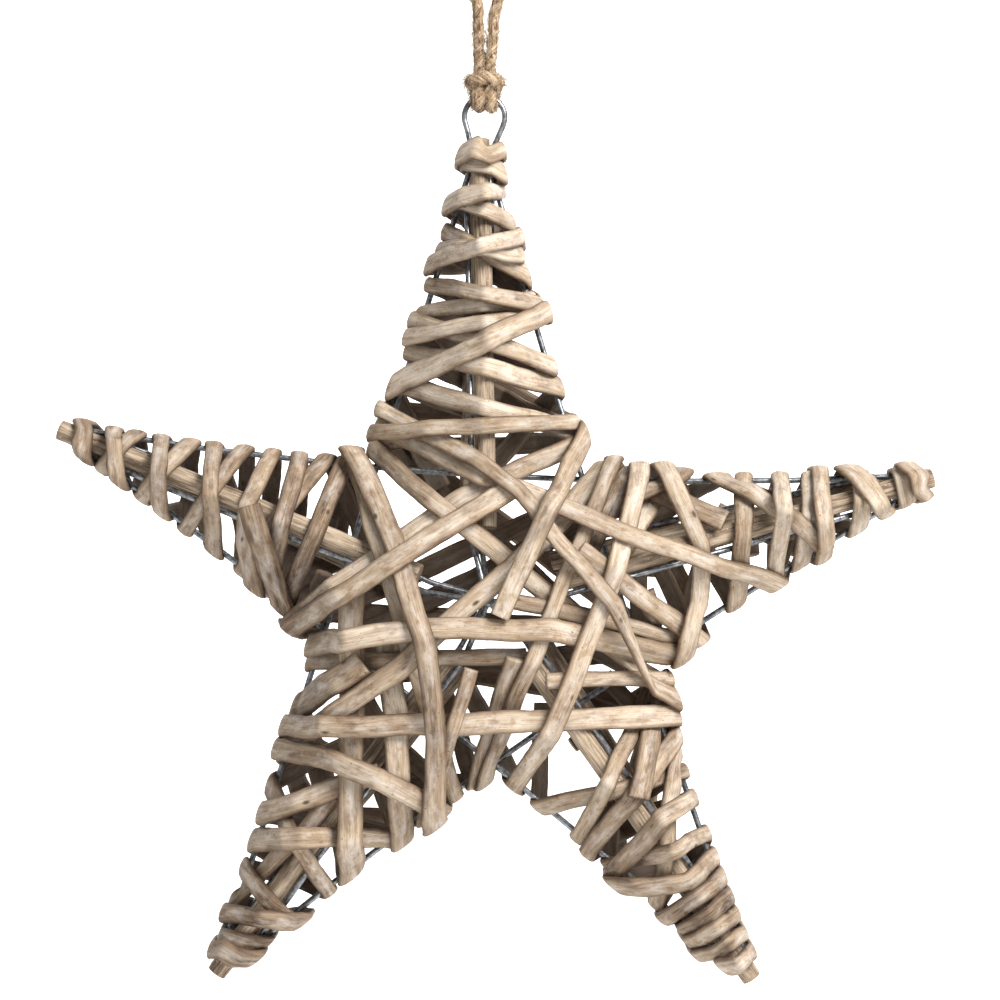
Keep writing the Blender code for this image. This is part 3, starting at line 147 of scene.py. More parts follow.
# The strips, innermost first. Each row is a name, a width, the folds in order, and options. A fold is an arm,
# a side of it and the distance from that arm's tip in millimetres. The stretch after the first fold lies in
# front, the next behind, and so on. "sway" bends the stretch of that number, from 0, to the left of its way.
# "cut_start" and "cut_end" leave out that share of the first or last stretch, whose outer fold then gives
# only its direction. "tail" is the length of the tucked ends behind, where it isn't TAIL_LENGTH.
STRIPS = [
    arm_strip(
        "left_arm_strip_under", 5.8, "left", "upper", "lower", [(91, 78), (63, 54), (44, 36), (25, 19)],
    ),
    arm_strip("left_arm_strip_neck", 6.4, "left", "upper", "lower", [(97, 98), (82, 92)]),
    arm_strip(
        "left_arm_strip_middle", 5.9, "left", "upper", "lower", [(73, 86), (52, 67), (34, 44)],
        sway={0: -5}, tail=20,
    ),
    arm_strip("left_arm_strip_tip", 5.8, "left", "upper", "lower", [(18, 27), (7, 13)], tail=9),
    arm_strip("right_arm_strip_under", 6.2, "right", "upper", "lower", [(41, 54), (24, 31)]),
    strip(
        "right_arm_strip_neck", 6.6, ("right", "upper", 64), ("right", "lower", 80), ("right", "upper", 88),
        ("low_left", "lower", 100), cut_end=0.66,
    ),
    arm_strip("right_arm_strip_slanted", 6.5, "right", "upper", "lower", [(71, 43), (28, 19)], sway={0: 2}),
    arm_strip("right_arm_strip_upright", 6.2, "right", "upper", "lower", [(51, 63), (38, 46)]),
    arm_strip("right_arm_strip_tip", 5.8, "right", "upper", "lower", [(11, 14), (8, 5)], tail=9),
    arm_strip("top_arm_strip_neck", 6.7, "top", "left", "right", [(88, 105), (76, 89)]),
    arm_strip("top_arm_strip_under", 5.7, "top", "left", "right", [(63, 57), (65, 82), (70, 60)]),
    arm_strip("top_arm_strip_falling", 5.8, "top", "left", "right", [(52, 60), (33, 49), (22, 30)]),
    arm_strip("top_arm_strip_rising", 5.8, "top", "left", "right", [(38, 42), (46, 35), (25, 18)]),
    arm_strip("top_arm_strip_broad", 7.2, "top", "left", "right", [(90, 63)]),
    arm_strip("top_arm_strip_tip", 6.2, "top", "left", "right", [(8, 12), (7.5, 5)]),
    strip(
        "low_left_arm_strip_under", 5.8, ("right", "upper", 104), ("low_left", "upper", 24),
        ("low_left", "lower", 30), ("low_left", "upper", 37), ("low_left", "lower", 46),
        ("low_left", "upper", 66), cut_start=0.74,
    ),
    strip(
        "low_left_arm_strip_neck", 7.4, ("low_left", "upper", 46), ("low_left", "lower", 76),
        ("low_left", "upper", 57), ("low_right", "upper", 108), cut_end=0.7, sway={0: 3},
    ),
    arm_strip(
        "low_left_arm_strip_tip", 6.4, "low_left", "upper", "lower", [(19.5, 34), (13, 19), (6.8, 12.5)],
        tail=9,
    ),
    strip(
        "low_right_arm_strip_under", 5.8, ("low_right", "lower", 93), ("low_right", "upper", 74),
        ("low_right", "lower", 76), ("low_right", "upper", 106),
    ),
    arm_strip("low_right_arm_strip_upright", 5.8, "low_right", "upper", "lower", [(80, 40), (51, 62)]),
    arm_strip(
        "low_right_arm_strip_broad", 6.8, "low_right", "upper", "lower", [(87, 70), (64, 58), (45, 56)],
        sway={2: -4, 4: 4},
    ),
    arm_strip(
        "low_right_arm_strip_middle", 6.3, "low_right", "upper", "lower", [(38.5, 36), (31, 30)], tail=18,
    ),
    arm_strip(
        "low_right_arm_strip_tip", 5.6, "low_right", "upper", "lower", [(24, 24.5), (16.5, 19), (8, 13)],
        tail=9,
    ),
    strip(
        "back_strip_crosswise", 7.2, ("top", "left", 100), ("left", "lower", 104), ("right", "upper", 104),
        cut_start=0.78,
    ),
    strip(
        "back_strip_falling", 7.6, ("right", "upper", 109), ("top", "left", 109),
        ("low_right", "upper", 104), cut_start=0.8,
    ),
    strip(
        "back_strip_rising", 7.0, ("left", "lower", 104), ("right", "upper", 86),
        ("low_left", "upper", 112), cut_start=0.8, cut_end=0.12,
    ),
    strip(
        "back_strip_slanted", 8.0, ("low_right", "upper", 108), ("right", "lower", 103),
        ("left", "lower", 98), cut_start=0.8,
    ),
    strip(
        "back_strip_low", 7.4, ("top", "right", 84), ("right", "lower", 108), ("low_left", "upper", 104),
        cut_start=0.8, cut_end=0.12,
    ),
    strip(
        "back_strip_upright", 7.0, ("low_left", "lower", 110), ("right", "upper", 104),
        ("low_right", "upper", 104), cut_start=0.75, cut_end=0.12,
    ),
    strip(
        "body_strip_low_uprights", 8.4, ("top", "left", 114), ("low_left", "lower", 77),
        ("left", "lower", 110), cut_start=0.45, cut_end=0.5,
    ),
    strip(
        "body_strip_low_crosswise", 5.8, ("right", "lower", 107), ("low_left", "upper", 110),
        ("top", "right", 110), cut_start=0.4, cut_end=0.8,
    ),
    strip(
        "body_strip_far_upright", 9.0, ("left", "upper", 101), ("low_left", "lower", 56),
        ("low_left", "upper", 94), ("right", "upper", 108), cut_start=0.3, cut_end=0.8,
    ),
    strip(
        "body_strip_crossed_under", 6.8, ("left", "lower", 103), ("top", "right", 109),
        ("top", "left", 113), ("low_right", "upper", 103), sway={0: 5},
    ),
    strip(
        "body_strip_inner_uprights", 6.4, ("top", "right", 112), ("low_left", "lower", 109),
        ("left", "upper", 102), ("low_left", "lower", 103), cut_start=0.62,
    ),
    strip("body_strip_long_slant", 7.4, ("right", "upper", 110), ("low_left", "upper", 79), sway={0: 5}),
    strip(
        "body_strip_cut_end", 5.6, ("left", "lower", 55), ("right", "lower", 98), ("right", "upper", 108.5),
        ("low_left", "lower", 111), cut_start=0.65,
    ),
    strip(
        "body_strip_two_levels", 7.8, ("low_left", "upper", 87), ("low_right", "upper", 96),
        ("low_left", "upper", 117), ("right", "lower", 106), sway={2: 8},
    ),
    strip(
        "body_strip_short_right", 5.4, ("low_left", "upper", 104), ("low_right", "upper", 106),
        cut_start=0.7,
    ),
    strip("body_strip_short_left", 5.4, ("low_left", "lower", 87.5), ("top", "right", 90), cut_end=0.66),
    strip(
        "body_strip_right_upright", 6.9, ("top", "left", 98), ("right", "lower", 96),
        ("right", "upper", 100), ("low_right", "lower", 104), ("left", "upper", 100), cut_start=0.62,
        cut_end=0.72, sway={2: 6},
    ),
    strip(
        "body_strip_right_crosswise", 6.5, ("right", "upper", 95), ("right", "lower", 109),
        ("top", "left", 105), ("right", "lower", 63), sway={0: 7, 2: -2.5},
    ),
    strip("body_strip_low_slant", 7.6, ("low_left", "upper", 79), ("low_left", "lower", 94), sway={0: 4}),
    strip(
        "body_strip_tall_left", 7.4, ("left", "upper", 107), ("low_left", "lower", 89),
        ("left", "lower", 103), ("top", "right", 110), cut_end=0.22, sway={0: 9},
    ),
    strip(
        "body_strip_long_falling", 5.8, ("low_right", "upper", 101), ("top", "left", 98),
        ("top", "right", 104), ("top", "left", 107), sway={0: -14},
    ),
    strip(
        "body_strip_top_right", 6.6, ("top", "right", 106), ("low_left", "lower", 88), cut_end=0.55,
        sway={0: -2.5},
    ),
]

# A fold's corner: its share outward from the wire and its share upward
FOLD_CORNER_OUT = math.cos(math.radians(30))
FOLD_CORNER_UP = math.sin(math.radians(30))

# The points of the wires
LAST_BEND_SHARE = 0.85
SLOPE_STEP = 0.002
TIP_TURNS = (45, 90, 135)
EYE_POINTS = 13

# The map of the work already laid on a face
MAP_CELL = 0.0005
MAP_REACH = TIP_RADIUS + TAIL_LENGTH / 2
EMPTY = -1.0
MARKS_PER_CELL = 1.6
BAR_MARKS_PER_CELL = 1.5

# How a fold settles along its wire, in cells of the map, and what a cell's move counts against its height
SETTLE_STEPS = 6
FARTHEST_STEPS = 60
SETTLE_PULL = 0.5
NOTCH_HALVINGS = 16

# The way of a stretch: how it leaves its folds, the length of its skewed ends in widths, and its samples
# along it and over half its width
STEEPEST = 1.1
LEAST_INWARD = 0.25
SKEWED_WIDTHS = 1.5
SAMPLES = 41
HALF_SAMPLES = 4

# How closely a stretch is fitted over what is below it
FITTING_ROUNDS = 80
FITTING_STEP = 0.7
FITTED_WITHIN = 0.00002
MOST_TILT = 0.55
STATION_FIT = 0.0032
MOST_STATIONS = 5
LONG_STRETCH = 0.57 * TIP_RADIUS
SHARPEST_JOIN = 0.8
CORNER_DROP = 0.001

# Where the tucked ends behind point
FAR_FOLDS = np.arange(0.008, 0.112, 0.002)
NEAREST_SIDE = 0.002
MOST_TAIL_SHARE = 0.7
WRONG_WAY = 10

# The jute loop
FLARE_RADII = 2.1
STRAND_POINTS, BIGHT_POINTS = 8, 10


def unit(v):
    return v / max(np.linalg.norm(v), 1e-12)


def across(v):
    """The direction a quarter turn to the left of a direction in the star's plane."""
    return np.array([-v[1], v[0]])


def run_along(points):
    """How far along a line each of its points is."""
    return np.concatenate([[0], np.cumsum(np.linalg.norm(np.diff(points, axis=0), axis=1))])


def arm_direction(arm):
    angle = math.radians(ARM_ANGLES[arm])
    return np.array([math.cos(angle), math.sin(angle)])


def line_ends(number):
    """The ends of one straight run of the star wire, which leaves an arm on its clockwise side."""
    start, end = ARMS[number], ARMS[(number + 3) % 5]
    ends = []
    for arm, side in ((start, -1), (end, 1)):
        out = arm_direction(arm)
        reach = TIP_RADIUS - WIRE_TIP_INSET - TIP_BEND_RADIUS
        ends.append(out * reach + across(out) * side * TIP_BEND_RADIUS)
    return ends


def line_point(number, share):
    """A point on a run of the star wire, bowed towards the middle of the star by the strips' pull."""
    start, end = line_ends(number)
    bow = WIRE_BOWS[ARMS[number]] * 4 * share * (1 - share)
    inward = across(unit(end - start))
    if inward @ (start + end) > 0:
        inward = -inward
    return start + (end - start) * share + inward * bow


def side_point(arm, side, distance):
    """Where a side of an arm lies at a distance from the tip, with the way round the star and the way out."""
    number = ARMS.index(arm) if side == CLOCKWISE else (ARMS.index(arm) + 2) % 5
    start, end = line_ends(number)
    long = np.linalg.norm(end - start)
    share = (distance - WIRE_TIP_INSET - TIP_BEND_RADIUS) / long
    step = SLOPE_STEP / long
    if side == COUNTER:
        share, step = 1 - share, -step
    place = line_point(number, share)
    inward_along = unit(line_point(number, share + step) - place)
    way = -inward_along if side == CLOCKWISE else inward_along
    return place, way, np.array([way[1], -way[0]])


def wire_depth(share):
    """The wire passes in front of the first run that it crosses and behind the second."""
    lift = WIRE_DIAMETER / 2 + CLEARANCE
    first = min(1.0, max(0.0, (CROSSING_END - abs(share - CROSSING)) / (CROSSING_END - CROSSING_TOP)))
    second = min(1.0, max(0.0, (CROSSING_END - abs(1 - share - CROSSING)) / (CROSSING_END - CROSSING_TOP)))
    return lift * (second - first)


def run_shares():
    """The shares of a run at which the star wire has a point."""
    near = [CROSSING + step for step in (-CROSSING_END, -CROSSING_TOP, CROSSING_TOP, CROSSING_END)]
    far = [1 - share for share in near[::-1]]
    return [0.0, CROSSING / 2 - CROSSING_TOP] + near + far + [LAST_BEND_SHARE, 1.0]


def star_wire_route():
    """Points of the star wire as (x, z, depth): five runs, four bent tips and the hanging eye."""
    route = []
    for step in range(5):
        number = step * 3 % 5
        for share in run_shares():
            route.append((*line_point(number, share), wire_depth(share)))
        arm = ARMS[(number + 3) % 5]
        if arm == "top":
            route += eye_route()
            continue
        out = arm_direction(arm)
        middle = out * (TIP_RADIUS - WIRE_TIP_INSET - TIP_BEND_RADIUS)
        for turn in TIP_TURNS:
            angle = math.radians(turn)
            bend = across(out) * math.cos(angle) + out * math.sin(angle)
            route.append((*(middle + bend * TIP_BEND_RADIUS), 0.0))
    return route


def eye_route():
    """The two top wires run on side by side, spread past the cane ends and close into a ring."""
    middle = np.array(EYE_CENTRE)
    points = [(*EYE_NECK[0], 0.0)]
    for turn in np.linspace(180 + EYE_OPEN_ANGLE, -EYE_OPEN_ANGLE, EYE_POINTS):
        angle = math.radians(turn)
        ring = np.array([math.cos(angle), math.sin(angle)])
        points.append((*(middle + ring * EYE_RADIUS), 0.0))
    points.append((*EYE_NECK[1], 0.0))
    return points


def ridge_point(arm, face, distance):
    """The middle of the cane, or of its line to the hub, at a distance from the star's middle."""
    out = arm_direction(arm)
    tip_depth = (CANE_DIAMETER + WIRE_DIAMETER) / 2 + CLEARANCE
    share = distance / TIP_RADIUS
    depth = tip_depth * share + HUB_DEPTH * (1 - share)
    shift = across(out) * (BACK_CANE_SHIFT * (1 - share) if face == BACK else 0.0)
    return out * distance + shift, depth * FACING[face]


def cane_route(arm, face):
    """The middle line of a cane, from the tip in towards the hub."""
    ends = [ridge_point(arm, face, distance) for distance in (TIP_RADIUS, CANE_HUB_GAP)]
    return [(*place, depth) for place, depth in ends]


def rib_route(arm, face):
    """One rib: beside the cane from near the tip, then in to the hub."""
    out = arm_direction(arm)
    beside = (CANE_DIAMETER + WIRE_DIAMETER) / 2 + CLEARANCE
    turn = RIB_SIDES[arm] if face == FRONT else -RIB_SIDES[arm]
    route = []
    for distance in (TIP_RADIUS - RIB_TIP_INSET, TIP_RADIUS / 2, RIB_HUB_BEND):
        place, depth = ridge_point(arm, face, distance)
        route.append((*(place + across(out) * turn * beside), depth))
    short = np.array([route[-1][0], route[-1][1]])
    route.append((*(short * HUB_BALL_RADIUS / 2 / np.linalg.norm(short)), HUB_DEPTH * FACING[face]))
    return route


class Relief:
    """How far the work already laid stands out on one face, on a square grid over the star."""

    def __init__(self, face):
        self.face = face
        self.cells = int(2 * MAP_REACH / MAP_CELL)
        self.height = np.full((self.cells, self.cells), EMPTY)

    def index(self, plan):
        return np.clip(((plan + MAP_REACH) / MAP_CELL).astype(int), 1, self.cells - 2)

    def read(self, plan):
        i = self.index(plan)
        return self.height[i[..., 0], i[..., 1]]

    def write(self, plan, height):
        i = self.index(plan.reshape(-1, 2))
        for dx in (-1, 0, 1):
            for dz in (-1, 0, 1):
                np.maximum.at(self.height, (i[:, 0] + dx, i[:, 1] + dz), height.reshape(-1))


def write_tube(reliefs, route, radius):
    """Marks a round bar on both faces."""
    for a, b in zip(route[:-1], route[1:]):
        a, b = np.array(a), np.array(b)
        count = max(2, int(np.linalg.norm(b - a) / MAP_CELL * BAR_MARKS_PER_CELL))
        along = np.linspace(0, 1, count)
        middle = a + (b - a) * along[:, None]
        side = across(unit((b - a)[:2]))
        for offset in np.linspace(-1, 1, max(5, int(2 * radius / MAP_CELL * BAR_MARKS_PER_CELL))):
            rise = radius * math.sqrt(1 - offset**2)
            plan = middle[:, :2] + side * offset * radius
            for face, relief in reliefs.items():
                relief.write(plan, middle[:, 2] * FACING[face] + rise)


def notch_distance(arm, side):
    """How far from an arm's tip its side meets the next arm's side."""
    step = 1 if side == COUNTER else -1
    other = ARMS[(ARMS.index(arm) + step) % 5]
    low, high = TIP_RADIUS / 2, TIP_RADIUS
    for _ in range(NOTCH_HALVINGS):
        middle = (low + high) / 2
        place, _, _ = side_point(arm, side, middle)
        there, _, out = side_point(other, 1 - side, middle)
        if (place - there) @ out > 0:
            low = middle
        else:
            high = middle
    return low


class Fold:
    """One fold over a side of the star: its place, its way round, its way out and how far out it stands."""

    def __init__(self, arm, side, distance):
        self.key = (arm, SIDES[arm][side])
        self.notch = notch_distance(*self.key)
        self.stand = 0.0
        self.move(distance * MM)

    def move(self, distance):
        self.distance = distance
        self.place, self.way, self.out = side_point(*self.key, distance)


def eye_leg_side(side, place):
    """How far from the ridge the outside of the eye's leg is, level with a point near the top tip."""
    out = arm_direction("top")
    neck = np.array(EYE_NECK[1 if side == CLOCKWISE else 0])
    run_end = TIP_RADIUS - WIRE_TIP_INSET - TIP_BEND_RADIUS
    spread = abs(neck @ across(out))
    return np.interp(place @ out, [run_end, neck @ out], [TIP_BEND_RADIUS, spread]) + WIRE_DIAMETER / 2


def bare_side(arm, side):
    """How far the wire, or a cane near the tip, stands out from the line of a side, all along it."""
    bare = []
    for distance in np.arange(0.0, TIP_RADIUS, MAP_CELL):
        place, _, _ = side_point(arm, side, distance)
        from_ridge = abs(place @ across(arm_direction(arm)))
        cane_side = CANE_DIAMETER / 2 + BACK_CANE_SHIFT * distance / TIP_RADIUS - from_ridge
        stands = max(WIRE_DIAMETER / 2, cane_side)
        if arm == "top":
            stands = max(stands, eye_leg_side(side, place) - from_ridge)
        bare.append(stands / FOLD_CORNER_OUT)
    return np.array(bare)


def fold_block(fold, half_long):
    """The outline of the room that a fold takes up outside its wire."""
    reach = fold.stand * FOLD_CORNER_OUT + (STRIP_THICKNESS + LAYING_GAP) / 2
    out = fold.out * reach
    start, end = fold.place - fold.way * half_long, fold.place + fold.way * half_long
    return np.array([start, end, end + out, start + out])


def apart(one, other):
    """Whether two four-sided outlines keep clear of each other."""
    for outline in (one, other):
        for i in range(4):
            axis = across(outline[(i + 1) % 4] - outline[i])
            a, b = one @ axis, other @ axis
            if a.max() < b.min() or b.max() < a.min():
                return True
    return False


def pile_up(piles, fold, half_long):
    """Settles a fold on top of the folds already there, a little along the wire where it lies lower there.

    A fold that would meet one on the far side of the notch is moved further towards the tip.
    """
    pile, blocks = piles.setdefault(fold.key, (bare_side(*fold.key), []))
    arm, side = fold.key
    next_arm = ARMS[(ARMS.index(arm) + (1 if side == COUNTER else -1)) % 5]
    others = piles.get((next_arm, 1 - side), (None, []))[1]
    wanted = fold.distance
    best = None
    for step in range(SETTLE_STEPS, -FARTHEST_STEPS, -1):
        if best is not None and step < -SETTLE_STEPS:
            break
        fold.move(wanted + step * MAP_CELL)
        first = max(0, int((fold.distance - half_long) / MAP_CELL))
        last = min(len(pile), int((fold.distance + half_long) / MAP_CELL) + 1)
        fold.stand = pile[first:last].max() + (LAYING_GAP + STRIP_THICKNESS / 2) / FOLD_CORNER_OUT
        block = fold_block(fold, half_long)
        clear = fold.notch - fold.distance - half_long > WIRE_DIAMETER
        if not clear or not all(apart(block, other) for other in others):
            continue
        cost = fold.stand + SETTLE_PULL * abs(step) * MAP_CELL
        if best is None or cost < best[0]:
            best = (cost, fold.distance, fold.stand, first, last, block)
    _, distance, stand, first, last, block = best
    fold.move(distance)
    fold.stand = stand
    blocks.append(block)
    pile[first:last] = stand + STRIP_THICKNESS / 2 / FOLD_CORNER_OUT


def patch_heights(corners, u, w):
    """The lower and the higher of the two ways to fold a twisted four-sided patch into triangles."""
    near_a, near_b, far_a, far_b = corners
    left = near_a * (1 - u) + far_a * (u - w) + far_b * w
    right = near_a * (1 - w) + near_b * (w - u) + far_b * u
    one = np.where(u >= w, left, right)
    near = near_a * (1 - u - w) + far_a * u + near_b * w
    far = far_b * (u + w - 1) + near_b * (1 - u) + far_a * (1 - w)
    other = np.where(u + w <= 1, near, far)
    return np.minimum(one, other), np.maximum(one, other)


def upper_hull(along, height):
    """The taut line over a row of heights."""
    keep = []
    for i in range(len(along)):
        while len(keep) > 1:
            a, b = keep[-2], keep[-1]
            turn = (along[b] - along[a]) * (height[i] - height[a])
            turn -= (height[b] - height[a]) * (along[i] - along[a])
            if turn < 0:
                break
            keep.pop()
        keep.append(i)
    return np.interp(along, along[keep], height[keep])


def chosen_stations(curve, within, most):
    """The points of a curve that keep its shape to within a distance, ends included."""
    keep = [0, len(curve) - 1]
    while len(keep) < most:
        worst, place = within, None
        for a, b in zip(keep[:-1], keep[1:]):
            if b - a < 2:
                continue
            share = np.linspace(0, 1, b - a + 1)[1:-1, None]
            straight = curve[a] + (curve[b] - curve[a]) * share
            off = np.linalg.norm(curve[a + 1 : b] - straight, axis=1)
            if off.max() > worst:
                worst, place = off.max(), a + 1 + int(off.argmax())
        if place is None:
            break
        keep = sorted(keep + [place])
    return keep


def section_normals(edge_a, edge_b):
    """The outward direction at each station, long enough to keep the strip's thickness at a bend."""
    middle = (edge_a + edge_b) / 2
    wide = edge_b - edge_a
    step = np.diff(middle, axis=0)
    normals = np.cross(step, wide[:-1] + wide[1:])
    normals /= np.maximum(np.linalg.norm(normals, axis=1), 1e-12)[:, None]
    before = np.vstack([normals[:1], normals])
    after = np.vstack([normals, normals[-1:]])
    joined = before + after
    joined /= np.maximum(np.linalg.norm(joined, axis=1), 1e-12)[:, None]
    joined /= np.maximum((joined * before).sum(axis=1), SHARPEST_JOIN)[:, None]
    return joined


def bulge_of(start, end, sway):
    """How far the middle of a stretch lies to the left of its straight way."""
    return across(unit(end.place - start.place)) * sway


def lean_of(fold, other, bulge):
    """How far a strip moves along the wire for each step that it goes in from a fold."""
    toward = unit(other.place - fold.place + 4 * bulge)
    slope = toward @ fold.way / max(-(toward @ fold.out), LEAST_INWARD)
    return max(-STEEPEST, min(STEEPEST, slope))


class Stretch:
    """One stretch of a strip on one face, from fold to fold or to a cut end."""

    def __init__(self, start, end, face, halves, width, sway, first, last, turn):
        self.face = face
        bulge = bulge_of(start, end, sway)
        (start_a, start_b), self.start_corner = fold_lines(start, end, bulge, halves[0] * turn)
        (end_a, end_b), self.end_corner = fold_lines(end, start, bulge, -halves[1] * turn)
        along = np.linspace(0, 1, SAMPLES)[:, None]
        middle = (start_a + start_b) / 2 * (1 - along) + (end_a + end_b) / 2 * along
        middle = middle + bulge * 4 * along * (1 - along)
        slope = np.gradient(middle, axis=0)
        square = np.column_stack([-slope[:, 1], slope[:, 0]])
        square *= width / 2 / np.linalg.norm(square, axis=1)[:, None]
        if square[0] @ (start_a - start_b) < 0:
            square = -square
        run = run_along(middle)
        skewed = min(SKEWED_WIDTHS * width, run[-1] / 2)
        near_start = np.clip(1 - run / skewed, 0, 1)[:, None]
        near_end = np.clip(1 - (run[-1] - run) / skewed, 0, 1)[:, None]
        half = square * (1 - near_start - near_end)
        half = half + near_start * (start_a - start_b) / 2 + near_end * (end_a - end_b) / 2
        self.plan_a, self.plan_b = middle + half, middle - half
        self.first, self.last = int(round(first * (SAMPLES - 1))), int(round(last * (SAMPLES - 1)))


def fold_lines(fold, other, bulge, half):
    """The plan of a fold's top line and of its corner line, edge a first."""
    out = fold.stand * FOLD_CORNER_OUT
    top = fold.place + fold.way * lean_of(fold, other, bulge) * out
    corner = fold.place + fold.out * out
    edge = fold.way * half
    return np.array([top + edge, top - edge]), np.array([corner + edge, corner - edge])


def lay(stretch, relief, has_start, has_end):
    """Pulls a stretch taut over what is already there. Returns the middle surface's two edges."""
    facing = FACING[stretch.face]
    first, last = stretch.first, stretch.last
    share = np.linspace(0, 1, 2 * HALF_SAMPLES - 1)
    plan = stretch.plan_a[:, None] + (stretch.plan_b - stretch.plan_a)[:, None] * share[None, :, None]
    found = relief.read(plan) + LAYING_GAP + STRIP_THICKNESS / 2
    middle = (stretch.plan_a + stretch.plan_b) / 2
    along = run_along(middle)
    need_a, need_b = found[:, :HALF_SAMPLES].max(axis=1), found[:, HALF_SAMPLES - 1 :].max(axis=1)
    least = WIRE_DIAMETER / 2 + LAYING_GAP + STRIP_THICKNESS / 2
    for need in (need_a, need_b):
        need[0], need[-1] = max(need[0], least), max(need[-1], least)
    high_a, high_b = upper_hull(along, need_a), upper_hull(along, need_b)
    slack = MOST_TILT * np.linalg.norm(stretch.plan_a - stretch.plan_b, axis=1)
    high_a, high_b = np.maximum(high_a, high_b - slack), np.maximum(high_b, high_a - slack)
    curve = np.column_stack([stretch.plan_a, high_a, stretch.plan_b, high_b])[first : last + 1]
    most = MOST_STATIONS if along[last] - along[first] > LONG_STRETCH else MOST_STATIONS - 1
    keep = np.array(chosen_stations(curve, STATION_FIT, most)) + first
    plan_a, plan_b = stretch.plan_a[keep], stretch.plan_b[keep]
    high = np.column_stack([high_a[keep], high_b[keep]])
    if has_start:
        corner = stretch.start_corner
        plan_a, plan_b = np.vstack([corner[:1], plan_a]), np.vstack([corner[1:], plan_b])
        high = np.vstack([high[:1] * FOLD_CORNER_UP, high])
    if has_end:
        corner = stretch.end_corner
        plan_a, plan_b = np.vstack([plan_a, corner[:1]]), np.vstack([plan_b, corner[1:]])
        high = np.vstack([high, high[-1:] * FOLD_CORNER_UP])
    tilt = MOST_TILT * np.linalg.norm(plan_a - plan_b, axis=1)[:, None]
    for _ in range(FITTING_ROUNDS):
        edges, under = stretch_edges(plan_a, plan_b, high, stretch, has_start, has_end)
        lift = np.zeros_like(high)
        for j, u, w, short in shortfalls(under, relief, facing):
            if short.max() < FITTED_WITHIN:
                continue
            weights = np.array([[(1 - u) * (1 - w), (1 - u) * w], [u * (1 - w), u * w]])
            needed = (short * weights / (weights**2).sum(axis=(0, 1))).max(axis=(2, 3))
            lift[j : j + 2] = np.maximum(lift[j : j + 2], needed)
        if lift.max() <= 0:
            break
        high = high + lift * FITTING_STEP
        high = np.maximum(high, high[:, ::-1] - tilt)
    edges, under = stretch_edges(plan_a, plan_b, high, stretch, has_start, has_end)
    still = max(short.max() for _, _, _, short in shortfalls(under, relief, facing))
    if still > FITTED_WITHIN:
        edges, under = stretch_edges(plan_a, plan_b, high + still, stretch, has_start, has_end)
    upper = faces_of(*edges, stretch, has_start, has_end, 1)
    for one, other in (upper, under, (upper[0], under[0]), (upper[1], under[1])):
        write_surface(relief, one, other, facing)
    return edges


def stretch_edges(plan_a, plan_b, high, stretch, has_start, has_end):
    """The two edges of a stretch's middle surface at given heights, and those of its inner surface."""
    facing = FACING[stretch.face]
    edge_a = np.column_stack([plan_a[:, 0], facing * high[:, 0], plan_a[:, 1]])
    edge_b = np.column_stack([plan_b[:, 0], facing * high[:, 1], plan_b[:, 1]])
    return (edge_a, edge_b), faces_of(edge_a, edge_b, stretch, has_start, has_end, -1)


def patches(edge_a, edge_b, cells):
    """Each four-sided patch of a surface, with shares along and across it and the points that they give."""
    for j in range(len(edge_a) - 1):
        corners = np.array([edge_a[j], edge_b[j], edge_a[j + 1], edge_b[j + 1]])
        span = np.linalg.norm(corners[2] + corners[3] - corners[0] - corners[1]) / 2
        wide = np.linalg.norm(corners[1] - corners[0])
        u = np.linspace(0, 1, max(3, int(span * cells / MAP_CELL) + 1))[:, None]
        w = np.linspace(0, 1, max(5, int(wide * cells / MAP_CELL)))[None, :]
        u, w = u + 0 * w, w + 0 * u
        near = corners[0] * (1 - w[..., None]) + corners[1] * w[..., None]
        far = corners[2] * (1 - w[..., None]) + corners[3] * w[..., None]
        spot = near * (1 - u[..., None]) + far * u[..., None]
        yield j, corners, u, w, spot[..., [0, 2]]


def shortfalls(under, relief, facing):
    """How far each patch of an inner surface is short of clearing the work below it."""
    for j, corners, u, w, plan in patches(*under, 1.0):
        lowest, _ = patch_heights(facing * corners[:, 1], u, w)
        yield j, u, w, relief.read(plan) + LAYING_GAP - lowest


def faces_of(edge_a, edge_b, stretch, has_start, has_end, side):
    """The edges of a stretch's outer (1) or inner (-1) surface."""
    facing = FACING[stretch.face]
    a, b = edge_a, edge_b
    drop = np.array([0.0, facing * CORNER_DROP, 0.0])
    if has_start:
        a, b = np.vstack([a[:1] - drop, a]), np.vstack([b[:1] - drop, b])
    if has_end:
        a, b = np.vstack([a, a[-1:] - drop]), np.vstack([b, b[-1:] - drop])
    normals = section_normals(a, b)
    middle = len(a) // 2
    if normals[middle][1] * facing < 0:
        normals = -normals
    start = 1 if has_start else 0
    normals = normals[start : start + len(edge_a)]
    offset = normals * STRIP_THICKNESS / 2 * side
    return edge_a + offset, edge_b + offset


def write_surface(relief, edge_a, edge_b, facing):
    """Marks a surface of a laid stretch."""
    for _, corners, u, w, plan in patches(edge_a, edge_b, MARKS_PER_CELL):
        _, highest = patch_heights(facing * corners[:, 1], u, w)
        relief.write(plan, highest)


def ray_fold(fold, way):
    """The fold on the far side of the star that a direction from this fold points to."""
    best = None
    for arm in ARMS:
        for side in (CLOCKWISE, COUNTER):
            for distance in FAR_FOLDS:
                place, _, out = side_point(arm, side, distance)
                gone = place - fold.place
                if min(gone @ out, -(gone @ fold.out)) < NEAREST_SIDE:
                    continue
                miss = abs(unit(gone) @ across(way)) + (WRONG_WAY if gone @ way < 0 else 0)
                if best is None or miss < best[0]:
                    name = [key for key, value in SIDES[arm].items() if value == side][0]
                    best = (miss, arm, name, distance / MM)
    return Fold(*best[1:])


